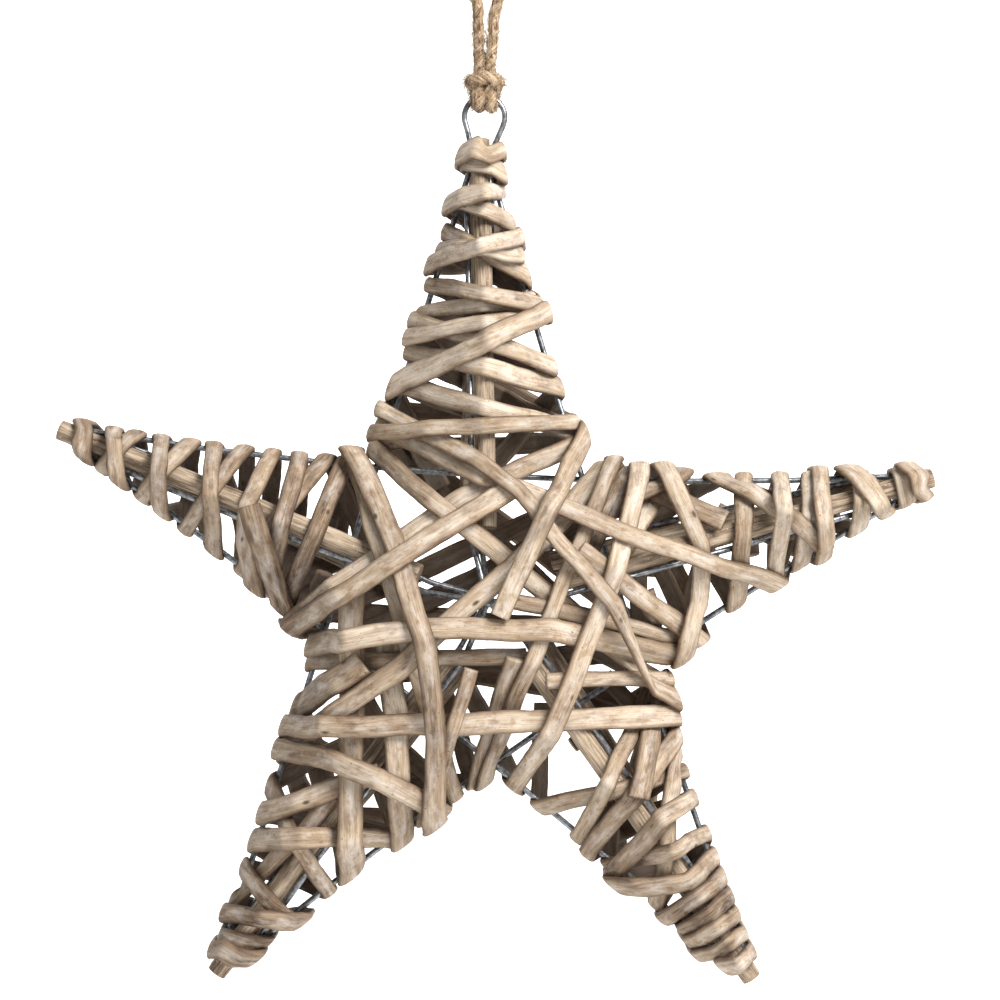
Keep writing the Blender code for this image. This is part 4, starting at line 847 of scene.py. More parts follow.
def strip_edges(row, reliefs, piles):
    """Lays one strip over the work so far. Returns the two edges of its middle surface."""
    _, width, folds, options = row
    width = width * MM
    folds = [Fold(*fold) for fold in folds]
    sways = {key: value * MM for key, value in options.get("sway", {}).items()}
    cut_start, cut_end = options.get("cut_start", 0.0), options.get("cut_end", 0.0)
    tail = options["tail"] * MM if "tail" in options else TAIL_LENGTH
    real = folds[1 if cut_start else 0 : len(folds) - (1 if cut_end else 0)]
    jobs = []
    for k in range(len(folds) - 1):
        face = FRONT if k % 2 == 0 else BACK
        jobs.append((folds[k], folds[k + 1], face, sways.get(k, 0.0), k))
    halves = {}
    for start, end, face, sway, k in jobs:
        bulge = bulge_of(start, end, sway)
        halves[(id(start), face)] = width / 2 * math.hypot(1, lean_of(start, end, bulge))
        halves[(id(end), face)] = width / 2 * math.hypot(1, lean_of(end, start, bulge))
    tails = []
    for fold, cut, at_start in ((folds[0], cut_start, True), (folds[-1], cut_end, False)):
        if cut:
            continue
        other = folds[1] if at_start else folds[-2]
        used = jobs[0][2] if at_start else jobs[-1][2]
        came = unit(fold.place - other.place)
        way = came - 2 * (came @ fold.out) * fold.out
        far = ray_fold(fold, way)
        tails.append((fold, far, BACK if used == FRONT else FRONT, at_start))
        halves[(id(fold), tails[-1][2])] = halves[(id(fold), used)]
        halves[(id(far), tails[-1][2])] = width / 2
    for fold in real:
        pile_up(piles, fold, max(halves[(id(fold), FRONT)], halves[(id(fold), BACK)]))

    pieces = []

    def lay_piece(start, end, face, sway, k, first, last, has_start, has_end):
        turn = 1 if k % 2 == 0 else -1
        ends = (halves[(id(start), face)], halves[(id(end), face)])
        stretch = Stretch(start, end, face, ends, width, sway, first, last, turn)
        pieces.append((k, *lay(stretch, reliefs[face], has_start, has_end)))

    def share_of(start, end):
        return min(MOST_TAIL_SHARE, tail / np.linalg.norm(end.place - start.place))

    for fold, far, face, at_start in tails:
        if at_start:
            lay_piece(far, fold, face, 0.0, -1, 1 - share_of(fold, far), 1.0, False, True)
    for start, end, face, sway, k in jobs:
        first = cut_start if k == 0 else 0.0
        last = 1 - cut_end if k == len(jobs) - 1 else 1.0
        lay_piece(start, end, face, sway, k, first, last, first == 0.0, last == 1.0)
    for fold, far, face, at_start in tails:
        if not at_start:
            lay_piece(fold, far, face, 0.0, len(folds) - 1, 0.0, share_of(fold, far), True, False)
    pieces.sort(key=lambda piece: piece[0])
    edge_a = np.vstack([piece[1] for piece in pieces])
    edge_b = np.vstack([piece[2] for piece in pieces])
    return edge_a, edge_b


def loop_route():
    """The jute loop as (x, z, depth): up from the knot, round the hanging point and down again."""
    start = KNOT_TOP + CLEARANCE
    centre = STAR_DROP + TWINE_DIAMETER / 2 - LOOP_RADIUS
    flare = centre - FLARE_RADII * LOOP_RADIUS
    strand = []
    for height in np.linspace(start, centre, STRAND_POINTS)[:-1]:
        aside = STRAND_SPACING / 2 + STRAND_SPREAD * (height - start)
        share = max(0.0, (height - flare) / (centre - flare))
        blend = share * share * (3 - 2 * share)
        strand.append((aside * (1 - blend) + LOOP_RADIUS * blend, height))
    left = [(loop_middle(height) - aside, height, 0.0) for aside, height in strand]
    right = [(loop_middle(height) + aside, height, 0.0) for aside, height in strand[::-1]]
    bight = []
    for turn in np.linspace(180, 0, BIGHT_POINTS):
        angle = math.radians(turn)
        bight.append((LOOP_RADIUS * math.cos(angle), centre + LOOP_RADIUS * math.sin(angle), 0.0))
    return left + bight + right


def loop_middle(height):
    """The sideways place of the loop's middle line, straight from the knot to the hanging point."""
    top = STAR_DROP + TWINE_DIAMETER / 2 - LOOP_RADIUS
    return EYE_CENTRE[0] * (top - height) / (top - KNOT_TOP)


def knot_route():
    """The hitch as (x, z, depth): down in front, under the eye's wire, up behind, and across the front."""
    top = EYE_CENTRE[1] + EYE_RADIUS
    round_wire = (WIRE_DIAMETER + TWINE_DIAMETER) / 2 + 2 * CLEARANCE
    half = STRAND_SPACING / 2
    tuck = KNOT_TUCK
    side = [
        (half, KNOT_TOP - top, 0.0),
        (half, KNOT_TOP - top - 0.0016, 0.0),
        (half + 0.0002, 0.0034, -round_wire + 0.0006),
        (half + 0.0004, 0.0004, -round_wire),
        (tuck, -0.0028, -round_wire * 0.76),
        (tuck + 0.0002, -0.0041, 0.0),
        (tuck + 0.0004, -0.0028, round_wire * 0.76),
        (tuck + 0.0010, 0.0008, round_wire + 0.0002),
        (tuck + 0.0019, 0.0036, round_wire - 0.0003),
        (tuck + 0.0027, 0.0050, 0.0010),
        (tuck + 0.0029, 0.0046, -0.0022),
        (tuck + 0.0020, 0.0050, -0.0050),
        (tuck - 0.0006, 0.0060, -0.0062),
    ]
    left = [(EYE_CENTRE[0] - x, top + z, y) for x, z, y in side]
    right = [(EYE_CENTRE[0] + x, top + z, y) for x, z, y in side[::-1]]
    return left + right


# The camera, the lights and the board
IMAGE_SIDE = 1000
METRES_PER_PIXEL = 0.000344
VIEW_CENTRE = (0.0041, 0.0, 0.0344)
CAMERA_DISTANCE = 2.0
SENSOR = 36.0
FAR_CLIP = 20.0
ROOM_LIGHT = 0.23
KEY_PLACE, KEY_SIZE = (0.75, -1.05, 0.85), 0.7
FILL_PLACE, FILL_SIZE = (-1.1, -1.2, 0.1), 1.0
BOARD_GAP = 0.35
BOARD_FRONT = -3.2
BOARD_BEND = 0.7
BOARD_BEND_RADIUS = 0.6
BOARD_HEIGHT = 3.0
BOARD_HALF_WIDTH = 3.0
GLOW_START, GLOW_FULL = 0.1, 0.5

# The section of a split strip: its rounded side, its flat side, and how far the pattern differs there
STRIP_SOFTENING = 2
CROWN_POINTS = 11
CROWN_FULLNESS = 0.6
FLAT_PLACES = (-0.62, 0.0, 0.62)
FLAT_HOLLOW = -0.06
STRIP_SINK = 0.0001
TYPICAL_HALF_WIDTH = 0.003
INNER_PATTERN_SHIFT = 0.011

# The unevenness of a strip: how much, its seed and its length in stations
WIDTH_WAVE = (0.05, 0, 14)
FINE_WIDTH_WAVE = (0.025, 100, 4)
LEAN_WAVE = (0.0005, 200, 18)
CROWN_WAVE = (0.08, 300, 10)
TONE_WAVE = (0.25, 400, 30)
GRAIN_RIDGE, RIDGE_STATIONS = 0.00007, 9
TONE_SEED = 500

# The willow rods, with their buds and sawn ends
ROD_STEP = 0.0012
ROD_SIDES = 28
ROD_UNEVEN, ROD_WAVE_SEED, ROD_STATIONS = 0.03, 600, 9
ROD_SAG = 0.0003
BUD_SEED = 700
BUD_COUNT = 3
BUD_PLACES = (0.08, 0.95)
BUD_LENGTH = 0.0025
BUD_SWELL = 0.05
MOST_SWELL = 1.02
SAWN_RINGS = (0.88, 0.55, 0.12)
SAWN_EDGE = 0.0001

# The visible wires, and the bead at each hub
WIRE_STEP = 0.0008
WIRE_SIDES = 12
WIRE_SOFTENING = 3
HUB_SIDES, HUB_STATIONS = 16, 13
HUB_SHARE = 0.98
HUB_POLE = 0.02

# The jute twine of two plies, and its loose fibres
LOOP_STEP, LOOP_SOFTENING = 0.0007, 6
KNOT_STEP, KNOT_SOFTENING = 0.0006, 5
LOOP_PLUMP, KNOT_PLUMP = 1.16, 1.36
KNOT_NARROWING = 0.86
TWINE_SIDES = 36
TWINE_UNEVEN, TWINE_STATIONS = 0.05, 12
TWINE_ROUGH, ROUGH_SHARE = 0.05, 0.8
PLY_SHARE = 0.28
PLY_VALLEY = 0.53
HAIR_POINTS = 6
HAIR_SIDES = 3
HAIR_RADIUS = 0.00012
HAIR_TAPER = 0.6
HAIR_REACH = (0.0014, 0.0040)
HAIR_ROOT = (0.44, 0.56)
HAIR_LEAD = 0.45
HAIR_WANDER, HAIR_CURL = 0.15, 0.22
LOOSE_CHANCE, LOOSE_LIFT, CLOSE_LIFT = 0.25, 0.8, 0.15
HAIR_SHARES = (0.55, 0.45)
HAIR_TONES = (0.2, 1.0)
LOOP_SEED, KNOT_SEED, HAIR_SEED = 11, 12, 13

# How brown the strips of each group are, from 0, pale, to 1. The left is browner than the right and the top.
GROUP_TONES = {"left": 0.66, "low_left": 0.66, "low_right": 0.66, "right": 0.26, "top": 0.08, "back": 0.95}
BODY_TONE = 0.42
TONE_SPREAD = 0.18

WHITE = (1.0, 1.0, 1.0)

# The kinds of shader node
MATH = "ShaderNodeMath"
NOISE = "ShaderNodeTexNoise"
RAMP = "ShaderNodeValToRGB"
MIX = "ShaderNodeMix"
BUMP = "ShaderNodeBump"
SEPARATE = "ShaderNodeSeparateXYZ"


def linear(hex_colour):
    """The linear colour of an sRGB hex value."""
    channels = [int(hex_colour[i : i + 2], 16) / 255 for i in (0, 2, 4)]
    return tuple(c / 12.92 if c <= 0.04045 else ((c + 0.055) / 1.055) ** 2.4 for c in channels)


def colour(name, hex_colour):
    """A colour setting that starts from an sRGB hex value."""
    about = f"Colour of the {name.lower()}"
    start = linear(hex_colour)
    return bpy.props.FloatVectorProperty(
        name=name, description=about, subtype="COLOR", size=3, min=0.0, max=1.0, default=start
    )


def length(name, default):
    """A length setting in metres."""
    about = f"{name}, in metres"
    return bpy.props.FloatProperty(
        name=name, description=about, default=default, min=0.0, unit="LENGTH", precision=5
    )


def number(name, default):
    """A setting that is a count."""
    about = f"How many {name.lower()} there are"
    return bpy.props.IntProperty(name=name, description=about, default=default, min=0)


def power(name, default):
    """The setting of a lamp's power."""
    about = f"Power of the {name.lower()}"
    return bpy.props.FloatProperty(name=name, description=about, default=default, unit="POWER")


class WillowSettings(bpy.types.PropertyGroup):
    """The split willow and the canes."""

    crown: length("Height of a strip's rounded side", 0.0018)
    step: length("Distance between a strip's cross sections", 0.0012)
    grain: length("Width of a grain line", 0.00036)
    pale: colour("Pale willow", "DACAB6")
    middle: colour("Middle willow", "B29D84")
    brown: colour("Brown willow", "8A735B")
    dark: colour("Dark grain", "4C3B2D")
    grey: colour("Weathered grey", "AFA4A5")
    wash: colour("Whitewash", "EBE1D6")
    ochre: colour("Ochre stain", "CBAF86")
    knot: colour("Small knots", "3F2E21")
    painted_edge_shade: colour("Painted shade at the edges", "8E7860")
    inside: colour("Cloven inner side and painted shade", "463629")
    bark: colour("Bark", "75624F")
    cut_end: colour("Cut end", "6B543D")
    heart: colour("Pale rings of the cut end", "A88C6C")


class WireSettings(bpy.types.PropertyGroup):
    """The galvanised wire."""

    spangle: length("Size of a zinc spangle", 0.0016)
    zinc: colour("Zinc", "A3A5A7")
    dull: colour("Dull zinc", "65686B")


class TwineSettings(bpy.types.PropertyGroup):
    """The jute twine."""

    pitch: length("Length of one turn of the two plies", 0.0098)
    hairs: number("Loose fibres", 3000)
    fibre: length("Width of a fibre bundle", 0.0006)
    pale: colour("Pale jute", "E3CAA8")
    middle: colour("Middle jute", "AE8A62")
    dark: colour("Dark jute", "4C331E")


class StageSettings(bpy.types.PropertyGroup):
    """The floor, the backdrop and the lights."""

    backdrop: colour("Backdrop", "FFFFFF")
    key_power: power("Key light", 40.0)
    fill_power: power("Fill light", 2.5)


def fill(tree, node, inputs):
    """Links or sets inputs of a node. A plain colour gets its alpha here."""
    for key, value in inputs.items():
        socket = node.inputs[key]
        if isinstance(value, bpy.types.NodeSocket):
            tree.links.new(value, socket)
        else:
            socket.default_value = (*value, 1.0) if socket.type == "RGBA" else value


def add(tree, kind, inputs=None, stops=(), out=0, **settings):
    """Adds a node with its settings, inputs and ramp stops, and returns one of its outputs."""
    made = tree.nodes.new(kind)
    for key, value in settings.items():
        setattr(made, key, value)
    fill(tree, made, inputs or {})
    if stops:
        elements = made.color_ramp.elements
        while len(elements) < len(stops):
            elements.new(0.5)
        for element, (level, tint) in zip(elements, stops):
            element.position = level
            element.color = (*tint, 1.0)
    return made.outputs[out]


def new_material(name):
    """An empty Principled material, its tree and its shader."""
    made = bpy.data.materials.new(name)
    made.use_nodes = True
    return made, made.node_tree, made.node_tree.nodes["Principled BSDF"]


def marks_of(tree):
    """A point's place in the pattern (across, along, seed) and its look (edge, tone, and inner side or end)."""
    both = []
    for label in ("willow", "look"):
        vector = add(tree, "ShaderNodeAttribute", out="Vector", attribute_name=label)
        both.append(tuple(add(tree, SEPARATE, {0: vector}).node.outputs))
    return both


def stretched(tree, parts, sizes):
    """A vector whose parts are divided by real sizes. A size of 0 leaves its part as it is."""
    axes = {}
    for axis, part, size in zip("XYZ", parts, (*sizes, 0)):
        axes[axis] = add(tree, MATH, {0: part, 1: size}, operation="DIVIDE") if size else part
    return add(tree, "ShaderNodeCombineXYZ", axes)


def pattern(tree, place, width, long, detail, rough):
    """A patchy pattern whose patches have a real width and length in metres."""
    vector = stretched(tree, place, (width, long))
    return add(tree, NOISE, {"Vector": vector, "Scale": 1.0, "Detail": detail, "Roughness": rough})


def weighed(tree, parts, start=0.0):
    """A start value plus some values, each times its weight."""
    for value, weight in parts:
        start = add(tree, MATH, {0: value, 1: weight, 2: start}, operation="MULTIPLY_ADD")
    return start


def laid_over(tree, base, tint, share, stops=(), where=None, blend="MIX"):
    """Lays a colour over another. The stops say how much of it shows at two levels of a pattern."""
    if stops:
        share = add(tree, RAMP, {"Fac": share}, [(level, (most, most, most)) for level, most in stops])
    if where is not None:
        share = add(tree, MATH, {0: share, 1: where}, operation="MULTIPLY")
    return add(tree, MIX, {"Factor": share, 6: base, 7: tint}, out=2, data_type="RGBA", blend_type=blend)


def willow_split():
    """Split willow: peeled, dried and lightly whitewashed rods, cloven along the grain."""
    # Cloven wood shows long fine lines along the strip, pale and dark by turns, with grey weather patches.
    keep = bpy.context.scene.willow
    made, tree, shader = new_material("split_willow_whitewashed")
    place, (edge, tone, inner) = marks_of(tree)
    # A real grain line is thinner than this, and would not show in the picture.
    fine = pattern(tree, place, keep.grain, 0.020, detail=4.0, rough=0.7)
    broad = pattern(tree, place, 0.0019, 0.030, detail=3.0, rough=0.6)
    shade = weighed(tree, ((tone, -0.24), (broad, 0.44), (fine, 0.42)), 0.18)
    stops = ((0.28, keep.dark), (0.40, keep.brown), (0.55, keep.middle), (0.70, keep.pale))
    base = add(tree, RAMP, {"Fac": shade}, stops)
    patch = pattern(tree, place, 0.0045, 0.013, detail=4.0, rough=0.62)
    base = laid_over(tree, base, keep.grey, patch, ((0.50, 0.0), (0.66, 0.6)), blend="MULTIPLY")
    # The wash is worn off along the edges.
    chalk = pattern(tree, place, 0.0040, 0.016, detail=5.0, rough=0.65)
    crest = weighed(tree, ((edge, -1.0),), 1.0)
    base = laid_over(tree, base, keep.wash, chalk, ((0.44, 0.0), (0.72, 0.70)), where=crest)
    stain = pattern(tree, place, 0.0030, 0.0070, detail=4.0, rough=0.7)
    base = laid_over(tree, base, keep.ochre, stain, ((0.56, 0.0), (0.66, 0.55)), blend="MULTIPLY")
    fleck = pattern(tree, place, 0.0005, 0.0045, detail=2.0, rough=0.6)
    base = laid_over(tree, base, keep.brown, fleck, ((0.64, 0.0), (0.70, 0.55)))
    pit = pattern(tree, place, 0.0006, 0.0019, detail=1.0, rough=0.5)
    base = laid_over(tree, base, keep.dark, pit, ((0.72, 0.0), (0.78, 0.8)))
    spots = {"Vector": stretched(tree, place, (0.009, 0.026)), "Scale": 1.0}
    knots = add(tree, "ShaderNodeTexVoronoi", spots, out="Distance")
    base = laid_over(tree, base, keep.knot, knots, ((0.045, 0.9), (0.10, 0.0)))
    # Painted shade: the colour darkens towards each edge of the strip, where its rounded side turns from the
    # light.
    base = laid_over(tree, base, keep.painted_edge_shade, edge, ((0.70, 0.0), (1.0, 0.7)), blend="MULTIPLY")
    # The flat inner side is darkened: partly the cloven wood's own colour, partly painted shade for the
    # shadowed inside of the star.
    base = laid_over(tree, base, keep.inside, weighed(tree, ((inner, 0.8),)))
    relief = weighed(tree, ((broad, 0.8), (fine, 0.5)))
    bump = add(tree, BUMP, {"Height": relief, "Strength": 0.8, "Distance": 0.0004})
    dull = weighed(tree, ((fine, -0.25),), 0.80)
    fill(tree, shader, {"Base Color": base, "Roughness": dull, "Normal": bump, "IOR": 1.47})
    return made


def willow_bark():
    """Round willow rod with its thin bark on, dried grey-brown, sawn square at the end."""
    # Dry bark wrinkles along the rod and carries small pale pores across it.
    keep = bpy.context.scene.willow
    made, tree, shader = new_material("willow_rod_with_bark")
    place, (edge, _, end) = marks_of(tree)
    wide, _, seed = place
    wrinkle = pattern(tree, place, 0.0008, 0.011, detail=3.0, rough=0.6)
    patch = pattern(tree, place, 0.005, 0.022, detail=3.0, rough=0.6)
    shade = weighed(tree, ((patch, 0.5), (wrinkle, 0.6)))
    stops = ((0.34, keep.dark), (0.46, keep.bark), (0.60, keep.middle), (0.74, keep.pale))
    base = add(tree, RAMP, {"Fac": shade}, stops)
    pores = pattern(tree, place, 0.0014, 0.0007, detail=1.0, rough=0.5)
    base = laid_over(tree, base, keep.pale, pores, ((0.68, 0.0), (0.74, 0.5)))
    # The rings of the sawn end are a share of its radius wide.
    rings = pattern(tree, (edge, wide, seed), 0.12, 0.0, detail=2.0, rough=0.5)
    wood = laid_over(tree, keep.cut_end, keep.heart, rings)
    base = laid_over(tree, base, wood, end)
    bump = add(tree, BUMP, {"Height": shade, "Strength": 0.9, "Distance": 0.0006})
    fill(tree, shader, {"Base Color": base, "Normal": bump, "Roughness": 0.74, "IOR": 1.47})
    return made


def zinc_wire():
    """Hot-dip galvanised mild steel wire, drawn and dipped."""
    # The zinc is grey and faintly patchy, with bright lines where light runs along the wire.
    keep = bpy.context.scene.star_wire
    made, tree, shader = new_material("galvanised_steel_wire")
    spot = add(tree, "ShaderNodeTexCoord", out="Object")
    size = {"Vector": spot, "Scale": 1 / keep.spangle, "Detail": 2.0, "Roughness": 0.6}
    spangle = add(tree, NOISE, size)
    base = add(tree, RAMP, {"Fac": spangle}, ((0.35, keep.dull), (0.62, keep.zinc)))
    rough = weighed(tree, ((spangle, 0.25),), 0.24)
    bump = add(tree, BUMP, {"Height": spangle, "Strength": 0.35, "Distance": 0.0002})
    fill(tree, shader, {"Base Color": base, "Roughness": rough, "Metallic": 0.92, "Normal": bump})
    return made


def jute_fibre():
    """Jute: retted bast fibre, spun into two plies and twisted, left undyed."""
    # Coarse shiny fibres lie along each ply, straw yellow to brown; the colour is darkened between the plies as
    # painted shade.
    keep = bpy.context.scene.twine
    made, tree, shader = new_material("jute_two_ply_twine")
    place, (crest, _, _) = marks_of(tree)
    # A fibre is too fine for the picture, so the pattern draws bundles of them.
    fibre = pattern(tree, place, keep.fibre, 0.0045, detail=3.0, rough=0.65)
    # Painted shade: the crest term makes the colour darker down into the valleys between the plies.
    shade = weighed(tree, ((fibre, 2.4), (crest, 0.32)), -0.92)
    base = add(tree, RAMP, {"Fac": shade}, ((0.20, keep.dark), (0.40, keep.middle), (0.71, keep.pale)))
    bump = add(tree, BUMP, {"Height": fibre, "Strength": 1.0, "Distance": 0.0012})
    look = {"Base Color": base, "Normal": bump, "Roughness": 0.72, "Sheen Weight": 0.25, "IOR": 1.5}
    fill(tree, shader, look)
    return made


def wave(seed, count, spread):
    """A smooth random row of numbers from -1 to 1, new about every `spread` samples."""
    rng = np.random.default_rng(seed)
    knots = rng.uniform(-1, 1, int(count / spread) + 4)
    place = np.arange(count) / spread
    i = place.astype(int)
    t = place - i
    t = t * t * (3 - 2 * t)
    return knots[i] * (1 - t) + knots[i + 1] * t


def object_of(name, mesh, finish):
    """Puts a mesh with its finish into the scene."""
    mesh.materials.append(finish)
    made = bpy.data.objects.new(name, mesh)
    bpy.context.scene.collection.objects.link(made)
    return made


def set_marks(mesh, layers):
    """Stores pattern coordinates and looks on the points of a mesh."""
    for label, values in layers.items():
        layer = mesh.attributes.new(label, "FLOAT_VECTOR", "POINT")
        layer.data.foreach_set("vector", np.ascontiguousarray(values, np.float32).ravel())


def mesh_from_rings(name, rings, finish, marks, looks):
    """A closed skin over a row of rings (stations x points x 3), with its pattern coordinates."""
    count, around = rings.shape[:2]
    index = np.arange(count * around).reshape(count, around)
    after = np.roll(index, -1, axis=1)
    quads = np.stack([index[:-1], after[:-1], after[1:], index[1:]], axis=-1).reshape(-1, 4)
    faces = [tuple(quad) for quad in quads.tolist()]
    faces += [tuple(index[0][::-1].tolist()), tuple(index[-1].tolist())]
    points = rings.reshape(-1, 3)
    a, b, c, d = points[quads].transpose(1, 0, 2)
    if (np.cross(a, b) * c + np.cross(a, c) * d).sum() < 0:
        faces = [face[::-1] for face in faces]
    mesh = bpy.data.meshes.new(name)
    mesh.from_pydata(points.tolist(), [], faces)
    set_marks(mesh, {"willow": marks, "look": looks})
    mesh.polygons.foreach_set("use_smooth", [True] * len(mesh.polygons))
    mesh.update()
    return object_of(name, mesh, finish)


def resampled(points, step):
    """The points of a line at even steps, and how far along it each is."""
    run = run_along(points)
    count = max(4, int(round(run[-1] / step)) + 1)
    at = np.linspace(0, run[-1], count)
    return np.column_stack([np.interp(at, run, points[:, i]) for i in range(points.shape[1])]), at


def softened(points, passes, closed=False):
    """The line with its corners rounded, ends kept."""
    points = points.copy()
    for _ in range(passes):
        if closed:
            points = (np.roll(points, 1, axis=0) + 2 * points + np.roll(points, -1, axis=0)) / 4
        else:
            points[1:-1] = (points[:-2] + 2 * points[1:-1] + points[2:]) / 4
    return points


def world_points(route):
    """Points (x, z, depth) of the star's plane as points of the part's frame."""
    route = np.array(route, float)
    return np.column_stack([route[:, 0], route[:, 2], route[:, 1] - STAR_DROP])


def carried_frames(centres):
    """Two directions across a line at each point, carried along it without twist."""
    along = np.gradient(centres, axis=0)
    along /= np.linalg.norm(along, axis=1)[:, None]
    first = np.cross(along[0], (0.0, 1.0, 0.0))
    if np.linalg.norm(first) < 0.1:
        first = np.cross(along[0], (1.0, 0.0, 0.0))
    sides = [first / np.linalg.norm(first)]
    for t in along[1:]:
        side = sides[-1] - t * (t @ sides[-1])
        sides.append(side / np.linalg.norm(side))
    sides = np.array(sides)
    return along, sides, np.cross(along, sides)


def stacked(first, second, third):
    """Three values for each point of some rings, from rows or columns of them."""
    return np.stack(np.broadcast_arrays(first, second, third), axis=-1).copy()


def round_bar(centres, radii, around, seed, lobes=None, pitch=0.0):
    """The rings of a bar of round or two-ply section along a line, with their pattern coordinates."""
    _, side, up = carried_frames(centres)
    run = run_along(centres)
    turn = np.linspace(0, 2 * math.pi, around, endpoint=False)
    spin = 2 * math.pi * run / pitch if pitch else 0 * run
    theta = turn[None, :] + spin[:, None]
    shape = np.ones((len(centres), around))
    if lobes:
        hollow = np.clip((1 - lobes) ** 2 - (lobes * np.sin(turn)) ** 2, 0, 1)
        shape = shape * (np.abs(np.cos(turn)) * lobes + np.sqrt(hollow))
    reach = shape * radii[:, None]
    rings = centres[:, None] + side[:, None] * (np.cos(theta) * reach)[..., None]
    rings = rings + up[:, None] * (np.sin(theta) * reach)[..., None]
    wide = np.abs((turn + math.pi) % (2 * math.pi) - math.pi) * radii.mean()
    return rings, stacked(wide[None, :], run[:, None], float(seed)), stacked(shape, 0.5, 0.0)


def outward_normals(middle, half):
    """The outward direction at each station of a strip, to the front where the strip is furthest forward."""
    normal = np.cross(np.gradient(middle, axis=0), half)
    normal /= np.linalg.norm(normal, axis=1)[:, None]
    for i in range(1, len(normal)):
        if normal[i] @ normal[i - 1] < -0.2:
            normal[i] = -normal[i]
    front = int(np.argmin(middle[:, 1]))
    return -normal if normal[front][1] > 0 else normal


def willow_strip(node, edge_a, edge_b, finish, number):
    """One split strip: a flat cloven side, a rounded outer side, uneven edges and softly bent folds."""
    keep = bpy.context.scene.willow
    both, run = resampled(np.column_stack([edge_a, edge_b]), keep.step)
    both = softened(both, STRIP_SOFTENING)
    count = len(both)
    middle, half = (both[:, :3] + both[:, 3:]) / 2, (both[:, :3] - both[:, 3:]) / 2
    normal = outward_normals(middle, half)

    def uneven(amount, seed, spread):
        """A wave along the strip: how much, its seed and its length in stations."""
        return amount * wave(number + seed, count, spread)[:, None]

    outer = [(math.cos(t), math.sin(t) ** CROWN_FULLNESS) for t in np.linspace(0, math.pi, CROWN_POINTS)]
    section = np.array(outer + [(x, FLAT_HOLLOW) for x in FLAT_PLACES])
    across_share, height_share = section[None, :, 0], section[None, :, 1]
    ridges = np.array([wave(number * 7 + k, count, RIDGE_STATIONS) for k in range(len(section))]).T
    high = STRIP_SINK - STRIP_THICKNESS / 2 + height_share * keep.crown * (1 + uneven(*CROWN_WAVE))
    high = high + ridges * GRAIN_RIDGE
    width = 1 + uneven(*WIDTH_WAVE) + uneven(*FINE_WIDTH_WAVE)
    x = across_share * width + uneven(*LEAN_WAVE) / TYPICAL_HALF_WIDTH
    rings = middle[:, None] + half[:, None] * x[..., None] + normal[:, None] * high[..., None]
    rings[..., 2] -= STAR_DROP
    # The third look value marks the flat inner side, where the finish lays its darker colour, which is partly
    # painted shade.
    under = (height_share < 0).astype(float)
    wide = across_share * np.linalg.norm(half, axis=1)[:, None] + under * INNER_PATTERN_SHIFT
    tone = np.clip(strip_tone(node, number) + uneven(*TONE_WAVE), 0, 1)
    marks = stacked(wide, run[:, None], number * 3.7)
    # The first look value, the share out to the edge, also sets the painted shade at the edges.
    looks = stacked(np.abs(across_share), tone, under)
    return mesh_from_rings(f"visible_{node}", rings, finish, marks, looks)


def strip_tone(node, number):
    """How brown a strip is, by its group and a chance difference."""
    tone = BODY_TONE
    for group, group_tone in GROUP_TONES.items():
        if node.startswith(group):
            tone = group_tone
    rng = np.random.default_rng(TONE_SEED + number)
    return float(np.clip(tone + rng.uniform(-TONE_SPREAD, TONE_SPREAD), 0, 1))


def strip_rows():
    """The two edges of every strip, laid over the wires and canes in turn."""
    route = star_wire_route()
    reliefs = {FRONT: Relief(FRONT), BACK: Relief(BACK)}
    write_tube(reliefs, route + route[:1], WIRE_DIAMETER / 2)
    for face in (FRONT, BACK):
        for arm in ARMS:
            write_tube(reliefs, rib_route(arm, face), WIRE_DIAMETER / 2)
            write_tube(reliefs, cane_route(arm, face), CANE_DIAMETER / 2)
    piles = {}
    for row in STRIPS:
        yield row[0], *strip_edges(row, reliefs, piles)


def dress(made, node):
    """Lets a visible piece stand for its plain solid, and gives it its body."""
    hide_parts(node)
    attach(made, "root")


class WICKERSTAR_OT_strips(bpy.types.Operator):
    """Lay the split willow strips"""

    bl_idname = "wicker_star.strips"
    bl_label = "Split Willow Strips"

    def execute(self, context):
        finish = willow_split()
        for number, (node, edge_a, edge_b) in enumerate(strip_rows()):
            dress(willow_strip(node, edge_a, edge_b, finish, number), node)
        return {"FINISHED"}


def rod(name, arm, face, finish, number):
    """A willow rod with slight bends, bud swellings and sawn ends, where the plain cane lies."""
    centres, run = resampled(world_points(cane_route(arm, face)), ROD_STEP)
    count = len(centres)
    radius = CANE_DIAMETER / 2
    uneven = ROD_UNEVEN * wave(number + ROD_WAVE_SEED, count, ROD_STATIONS)
    radii = radius * (1 - ROD_UNEVEN + uneven)
    rng = np.random.default_rng(BUD_SEED + number)
    for bud in rng.uniform(*BUD_PLACES, BUD_COUNT):
        radii = radii + radius * BUD_SWELL * np.exp(-(((run - bud * run[-1]) / BUD_LENGTH) ** 2))
    radii = np.minimum(radii, radius * MOST_SWELL)
    sag = np.sin(np.linspace(0, math.pi, count)) * ROD_SAG * rng.uniform(-1, 1)
    centres = centres + np.array([0.0, 0.0, 1.0]) * sag[:, None]
    rings, marks, looks = round_bar(centres, radii, ROD_SIDES, number * 2.3)
    rings, marks, looks = with_flat_ends(rings, marks, looks, centres)
    return mesh_from_rings(name, rings, finish, marks, looks)


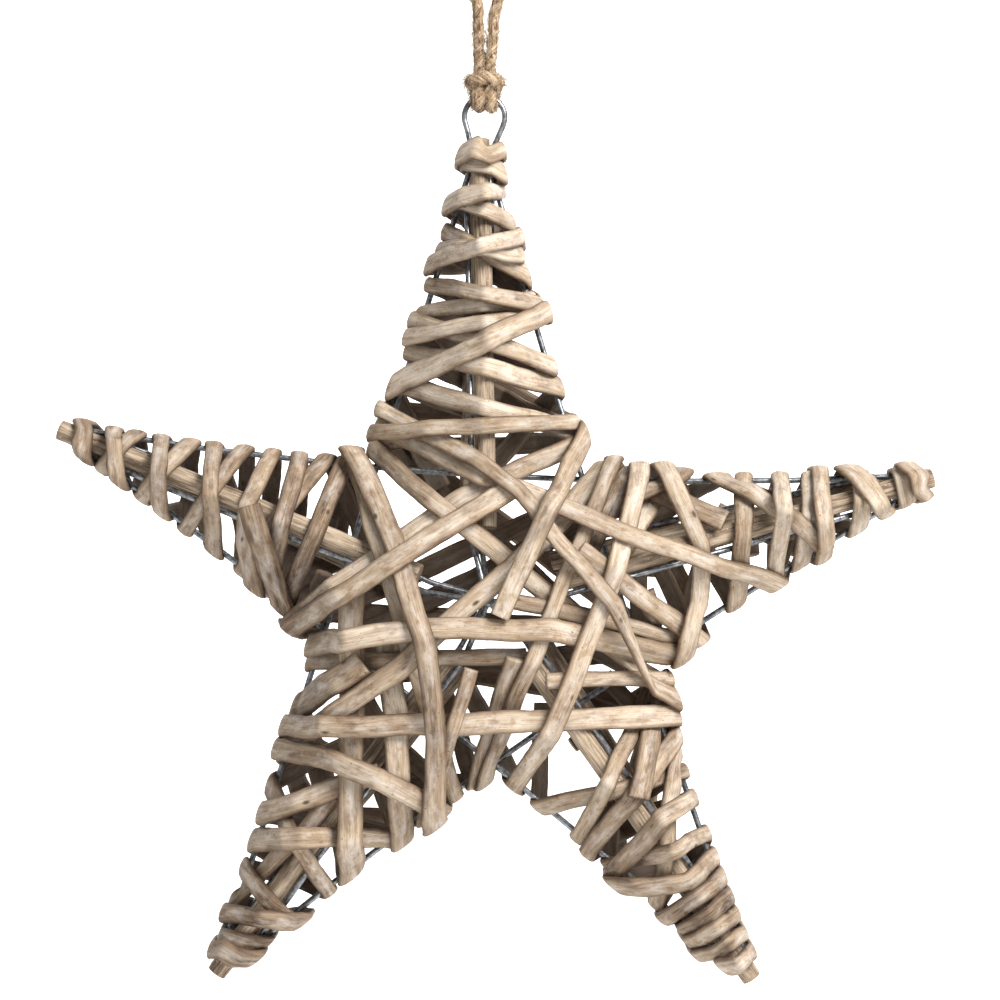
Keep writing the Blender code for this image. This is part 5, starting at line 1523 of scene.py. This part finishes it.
def with_flat_ends(rings, marks, looks, centres):
    """Adds a small worn edge and a flat sawn face at each end."""
    added = []
    for end, before in ((0, 1), (-1, -2)):
        step = centres[end] - centres[before]
        step = step / np.linalg.norm(step) * SAWN_EDGE
        rows = []
        for share in SAWN_RINGS:
            look = looks[end].copy()
            look[:, 0], look[:, 2] = share, 1.0
            rows.append((centres[end] + (rings[end] - centres[end]) * share + step, marks[end], look))
        added.append([np.array(part) for part in zip(*rows)])
    whole = zip((rings, marks, looks), *added)
    return [np.concatenate([start[::-1], values, end]) for values, start, end in whole]


class WICKERSTAR_OT_rods(bpy.types.Operator):
    """Lay a willow rod along each ridge, in front and behind"""

    bl_idname = "wicker_star.rods"
    bl_label = "Willow Rods"

    def execute(self, context):
        finish = willow_bark()
        number = 0
        for face, word in ((FRONT, "front"), (BACK, "back")):
            for arm in ARMS:
                node = f"{word}_cane_{arm}_arm"
                dress(rod(f"visible_{node}", arm, face, finish, number), node)
                number += 1
        return {"FINISHED"}


def wire_skin(name, route, finish, closed=False):
    """A round wire along a route, with its bends rounded."""
    centres, _ = resampled(world_points(route + route[:1] if closed else route), WIRE_STEP)
    if closed:
        centres = softened(centres[:-1], WIRE_SOFTENING, closed=True)
        centres = np.vstack([centres, centres[:1]])
    else:
        centres = softened(centres, WIRE_SOFTENING)
    rings, marks, looks = round_bar(centres, np.full(len(centres), WIRE_DIAMETER / 2), WIRE_SIDES, 0.0)
    return mesh_from_rings(name, rings, finish, marks, looks)


class WICKERSTAR_OT_wires(bpy.types.Operator):
    """Bend the star wire with its eye, and the ribs of both faces"""

    bl_idname = "wicker_star.wires"
    bl_label = "Wires"

    def execute(self, context):
        finish = zinc_wire()
        star = wire_skin("visible_star_wire_with_eye", star_wire_route(), finish, closed=True)
        dress(star, "star_wire_with_eye")
        for face, word in ((FRONT, "front"), (BACK, "back")):
            spokes = [wire_skin(f"{word}_rib_{arm}", rib_route(arm, face), finish) for arm in ARMS]
            hub = hub_twist(f"{word}_hub", face, finish)
            node = f"{word}_rib_wires"
            dress(joined(f"visible_{node}", spokes + [hub], finish), node)
        return {"FINISHED"}


def hub_twist(name, face, finish):
    """The small bead where the ribs of one face meet."""
    middle = np.array([0.0, HUB_DEPTH * FACING[face], -STAR_DROP])
    lift = np.linspace(-1, 1, HUB_STATIONS)
    centres = middle + np.array([0.0, 1.0, 0.0]) * (lift * HUB_BALL_RADIUS * HUB_SHARE)[:, None]
    radii = HUB_BALL_RADIUS * np.sqrt(np.clip(1 - lift**2, HUB_POLE, 1))
    rings, marks, looks = round_bar(centres, radii, HUB_SIDES, 0.0)
    return mesh_from_rings(name, rings, finish, marks, looks)


def joined(name, pieces, finish):
    """Several meshes as one object."""
    shape = bmesh.new()
    for piece in pieces:
        shape.from_mesh(piece.data)
        bpy.data.objects.remove(piece)
    mesh = bpy.data.meshes.new(name)
    shape.to_mesh(mesh)
    shape.free()
    return object_of(name, mesh, finish)


def twine_skin(name, centres, finish, seed, plump):
    """Two-ply twine along a line."""
    keep = bpy.context.scene.twine
    radii = TWINE_DIAMETER / 2 * plump * (1 + TWINE_UNEVEN * wave(seed, len(centres), TWINE_STATIONS))
    rings, marks, looks = round_bar(centres, radii, TWINE_SIDES, seed, PLY_SHARE, keep.pitch)
    rough = np.random.default_rng(seed).normal(0, TWINE_ROUGH, rings.shape[:2])
    rough = (rough + np.roll(rough, 1, axis=0) + np.roll(rough, 2, axis=0)) * ROUGH_SHARE
    rings = centres[:, None] + (rings - centres[:, None]) * (1 + rough[..., None])
    # The first look value becomes the share up each ply's crest, which the jute's finish uses to paint shade
    # into the valleys.
    looks[..., 0] = np.clip((looks[..., 0] - PLY_VALLEY) / (1 - PLY_VALLEY), 0, 1)
    return mesh_from_rings(name, rings, finish, marks, looks)


def hair_lines(lines, rng):
    """The middle lines of the loose fibres, which leave the twine mostly along its lay."""
    keep = bpy.context.scene.twine
    hairs = []
    for centres, share in lines:
        along, side, up = carried_frames(centres)
        for _ in range(int(keep.hairs * share)):
            i = int(rng.integers(1, len(centres) - 1))
            turn = rng.uniform(0, 2 * math.pi)
            out = side[i] * math.cos(turn) + up[i] * math.sin(turn)
            lift = LOOSE_LIFT if rng.uniform() < LOOSE_CHANCE else CLOSE_LIFT
            lead = np.cross(out, along[i]) * HAIR_LEAD
            way = (along[i] + lead) * rng.choice([-1, 1]) + out * rng.uniform(0.0, lift)
            way = way + rng.normal(0, HAIR_WANDER, 3)
            reach = rng.uniform(*HAIR_REACH)
            start = centres[i] + out * TWINE_DIAMETER * rng.uniform(*HAIR_ROOT)
            t = np.linspace(0, 1, HAIR_POINTS)[:, None]
            curl = rng.normal(0, HAIR_CURL, 3)
            hairs.append(start + way * reach * t + curl * reach * t**2)
    return hairs


def hair_faces(first):
    """The faces of one hair, whose points start at a number: its sides, then its two ends."""
    faces = []
    for j in range(HAIR_POINTS - 1):
        row = first + HAIR_SIDES * j
        for k in range(HAIR_SIDES):
            m = (k + 1) % HAIR_SIDES
            faces.append((row + k, row + m, row + HAIR_SIDES + m, row + HAIR_SIDES + k))
    last = first + HAIR_SIDES * (HAIR_POINTS - 1)
    return faces + [(first + 2, first + 1, first), (last, last + 1, last + 2)]


def twine_hairs(name, lines, finish, seed):
    """Loose fibres that stand off the twine, as thin three-sided spikes in one mesh."""
    rng = np.random.default_rng(seed)
    hairs = hair_lines(lines, rng)
    points, faces = [], []
    for line in hairs:
        _, side, up = carried_frames(line)
        faces += hair_faces(len(points))
        for j, place in enumerate(line):
            thin = HAIR_RADIUS * (1 - HAIR_TAPER * j / (HAIR_POINTS - 1))
            for k in range(HAIR_SIDES):
                angle = 2 * math.pi * k / HAIR_SIDES
                points.append(place + (side[j] * math.cos(angle) + up[j] * math.sin(angle)) * thin)
    mesh = bpy.data.meshes.new(name)
    mesh.from_pydata([tuple(point) for point in points], [], faces)
    shades = np.repeat(rng.uniform(*HAIR_TONES, len(hairs)), HAIR_POINTS * HAIR_SIDES)
    set_marks(mesh, {"look": stacked(shades, shades, 0.0), "willow": np.array(points)})
    return object_of(name, mesh, finish)


class WICKERSTAR_OT_twine(bpy.types.Operator):
    """Hitch the jute twine to the eye and hang its loop"""

    bl_idname = "wicker_star.twine"
    bl_label = "Jute Loop and Knot"

    def execute(self, context):
        finish = jute_fibre()
        loop_line = softened(resampled(world_points(loop_route()), LOOP_STEP)[0], LOOP_SOFTENING)
        knot_line = softened(resampled(world_points(knot_route()), KNOT_STEP)[0], KNOT_SOFTENING)
        up = np.array([0.0, 0.0, KNOT_STEP])
        tucked = np.vstack([knot_line[0] + up, knot_line, knot_line[-1] + up])
        tucked[:, 0] = EYE_CENTRE[0] + (tucked[:, 0] - EYE_CENTRE[0]) * KNOT_NARROWING
        loop = twine_skin("jute_twine_loop", loop_line, finish, LOOP_SEED, LOOP_PLUMP)
        knot = twine_skin("jute_twine_knot", tucked, finish, KNOT_SEED, KNOT_PLUMP)
        lines = zip((loop_line, knot_line), HAIR_SHARES)
        hairs = twine_hairs("jute_loose_fibres", lines, finish, HAIR_SEED)
        dress(loop, "jute_loop")
        dress(knot, "jute_knot")
        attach(hairs, "root")
        tuple(loop_line[0])
        float(run_along(loop_line)[-1])
        [tuple(point) for point in loop_line[::4].tolist() + [loop_line[-1].tolist()]]
        return {"FINISHED"}


def square_camera(middle):
    """The camera, level and square on to the star."""
    camera = bpy.data.objects.new("camera", bpy.data.cameras.new("camera"))
    bpy.context.scene.collection.objects.link(camera)
    camera.location = middle + Vector((0, -CAMERA_DISTANCE, 0))
    camera.rotation_euler = (math.radians(90), 0, 0)
    camera.data.sensor_width = SENSOR
    camera.data.lens = SENSOR * CAMERA_DISTANCE / (METRES_PER_PIXEL * IMAGE_SIDE)
    camera.data.clip_end = FAR_CLIP
    return camera


def board_paint(low):
    """White painted board, which glows above the floor so that the backdrop is plain white."""
    keep = bpy.context.scene.stage
    made, tree, shader = new_material("painted_studio_board")
    spot = add(tree, "ShaderNodeTexCoord", out="Object")
    cloud = add(tree, NOISE, {"Vector": spot, "Scale": 40.0, "Detail": 2.0, "Roughness": 0.5})
    shade = laid_over(tree, keep.backdrop, tuple(0.97 * c for c in keep.backdrop), cloud)
    height = add(tree, SEPARATE, {0: spot}, out=2)
    span = {"Value": height, "From Min": low + GLOW_START, "From Max": low + GLOW_FULL}
    glow = add(tree, "ShaderNodeMapRange", span)
    look = {"Base Color": shade, "Roughness": 0.9, "Emission Color": WHITE, "Emission Strength": glow}
    fill(tree, shader, look)
    # The board is see-through from behind, so that the star's back can be looked at.
    behind = add(tree, "ShaderNodeNewGeometry", out="Backfacing")
    clear = add(tree, "ShaderNodeBsdfTransparent")
    one_way = add(tree, "ShaderNodeMixShader", {0: behind, 1: shader.outputs[0], 2: clear})
    fill(tree, tree.nodes["Material Output"], {"Surface": one_way})
    return made


def studio_board():
    """One board that is the floor, bends up and is the backdrop."""
    low = -STAR_DROP - TIP_RADIUS - BOARD_GAP
    path = [(BOARD_FRONT, low), (BOARD_BEND, low)]
    for turn in np.linspace(0, 90, 13)[1:]:
        angle = math.radians(turn)
        out, up = BOARD_BEND_RADIUS * math.sin(angle), BOARD_BEND_RADIUS * (1 - math.cos(angle))
        path.append((BOARD_BEND + out, low + up))
    path.append((BOARD_BEND + BOARD_BEND_RADIUS, low + BOARD_HEIGHT))
    points = [(x, y, z) for y, z in path for x in (-BOARD_HALF_WIDTH, BOARD_HALF_WIDTH)]
    faces = [(2 * i, 2 * i + 1, 2 * i + 3, 2 * i + 2) for i in range(len(path) - 1)]
    board = bpy.data.meshes.new("floor_and_backdrop")
    board.from_pydata(points, [], faces)
    board.polygons.foreach_set("use_smooth", [True] * len(board.polygons))
    return object_of("floor_and_backdrop", board, board_paint(low))


def soft_lamp(name, middle, place, size, energy):
    """A square lamp that points at the star."""
    data = bpy.data.lights.new(name, "AREA")
    data.energy = energy
    data.size = size
    lamp = bpy.data.objects.new(name, data)
    lamp.location = middle + Vector(place)
    lamp.rotation_mode = "QUATERNION"
    lamp.rotation_quaternion = (middle - lamp.location).to_track_quat("-Z", "Y")
    bpy.context.scene.collection.objects.link(lamp)


def white_room():
    """A room that looks white all round, and lights the star far less than it looks."""
    world = bpy.data.worlds.new("soft_white_room")
    world.use_nodes = True
    tree = world.node_tree
    seen = add(tree, "ShaderNodeLightPath", out="Is Camera Ray")
    strength = weighed(tree, ((seen, 1 - ROOM_LIGHT),), ROOM_LIGHT)
    fill(tree, tree.nodes["Background"], {"Color": WHITE, "Strength": strength})
    return world


class WICKERSTAR_OT_stage(bpy.types.Operator):
    """Set the camera, the soft lights, the floor and the backdrop"""

    bl_idname = "wicker_star.stage"
    bl_label = "Stage"

    def execute(self, context):
        scene = context.scene
        keep = scene.stage
        middle = Vector((VIEW_CENTRE[0], VIEW_CENTRE[1], VIEW_CENTRE[2] - STAR_DROP))
        scene.camera = square_camera(middle)
        scene.view_settings.view_transform = "Standard"
        studio_board()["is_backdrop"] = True
        soft_lamp("key_light", middle, KEY_PLACE, KEY_SIZE, keep.key_power)
        soft_lamp("fill_light", middle, FILL_PLACE, FILL_SIZE, keep.fill_power)
        scene.world = white_room()
        return {"FINISHED"}


class WICKERSTAR_PT_panel(bpy.types.Panel):
    """The star's settings and steps"""

    bl_idname = "WICKERSTAR_PT_panel"
    bl_label = "Wicker Star"
    bl_space_type = "VIEW_3D"
    bl_region_type = "UI"
    bl_category = "Wicker Star"

    def draw(self, context):
        for operator in OPERATORS:
            self.layout.operator(operator.bl_idname)
        for name in SETTINGS:
            group = getattr(context.scene, name)
            for key in group.bl_rna.properties.keys():
                if key not in ("rna_type", "name"):
                    self.layout.prop(group, key)


OPERATORS = (
    WICKERSTAR_OT_strips,
    WICKERSTAR_OT_rods,
    WICKERSTAR_OT_wires,
    WICKERSTAR_OT_twine,
    WICKERSTAR_OT_stage,
)
SETTINGS = {
    "willow": WillowSettings,
    "star_wire": WireSettings,
    "twine": TwineSettings,
    "stage": StageSettings,
}


def register():
    for group in SETTINGS.values():
        bpy.utils.register_class(group)
    for operator in OPERATORS:
        bpy.utils.register_class(operator)
    bpy.utils.register_class(WICKERSTAR_PT_panel)
    for name, group in SETTINGS.items():
        setattr(bpy.types.Scene, name, bpy.props.PointerProperty(type=group))


def unregister():
    for name in SETTINGS:
        delattr(bpy.types.Scene, name)
    bpy.utils.unregister_class(WICKERSTAR_PT_panel)
    for kind in reversed(OPERATORS + tuple(SETTINGS.values())):
        bpy.utils.unregister_class(kind)


def main():
    register()
    bpy.ops.wicker_star.stage()
    bpy.ops.wicker_star.twine()
    bpy.ops.wicker_star.strips()
    bpy.ops.wicker_star.rods()
    bpy.ops.wicker_star.wires()
    boxes = {"cad": cad_box, "visual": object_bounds()}
    sizes = {name: [[float(v) for v in corner] for corner in box] for name, box in boxes.items()}


if __name__ == "__main__":
    main()
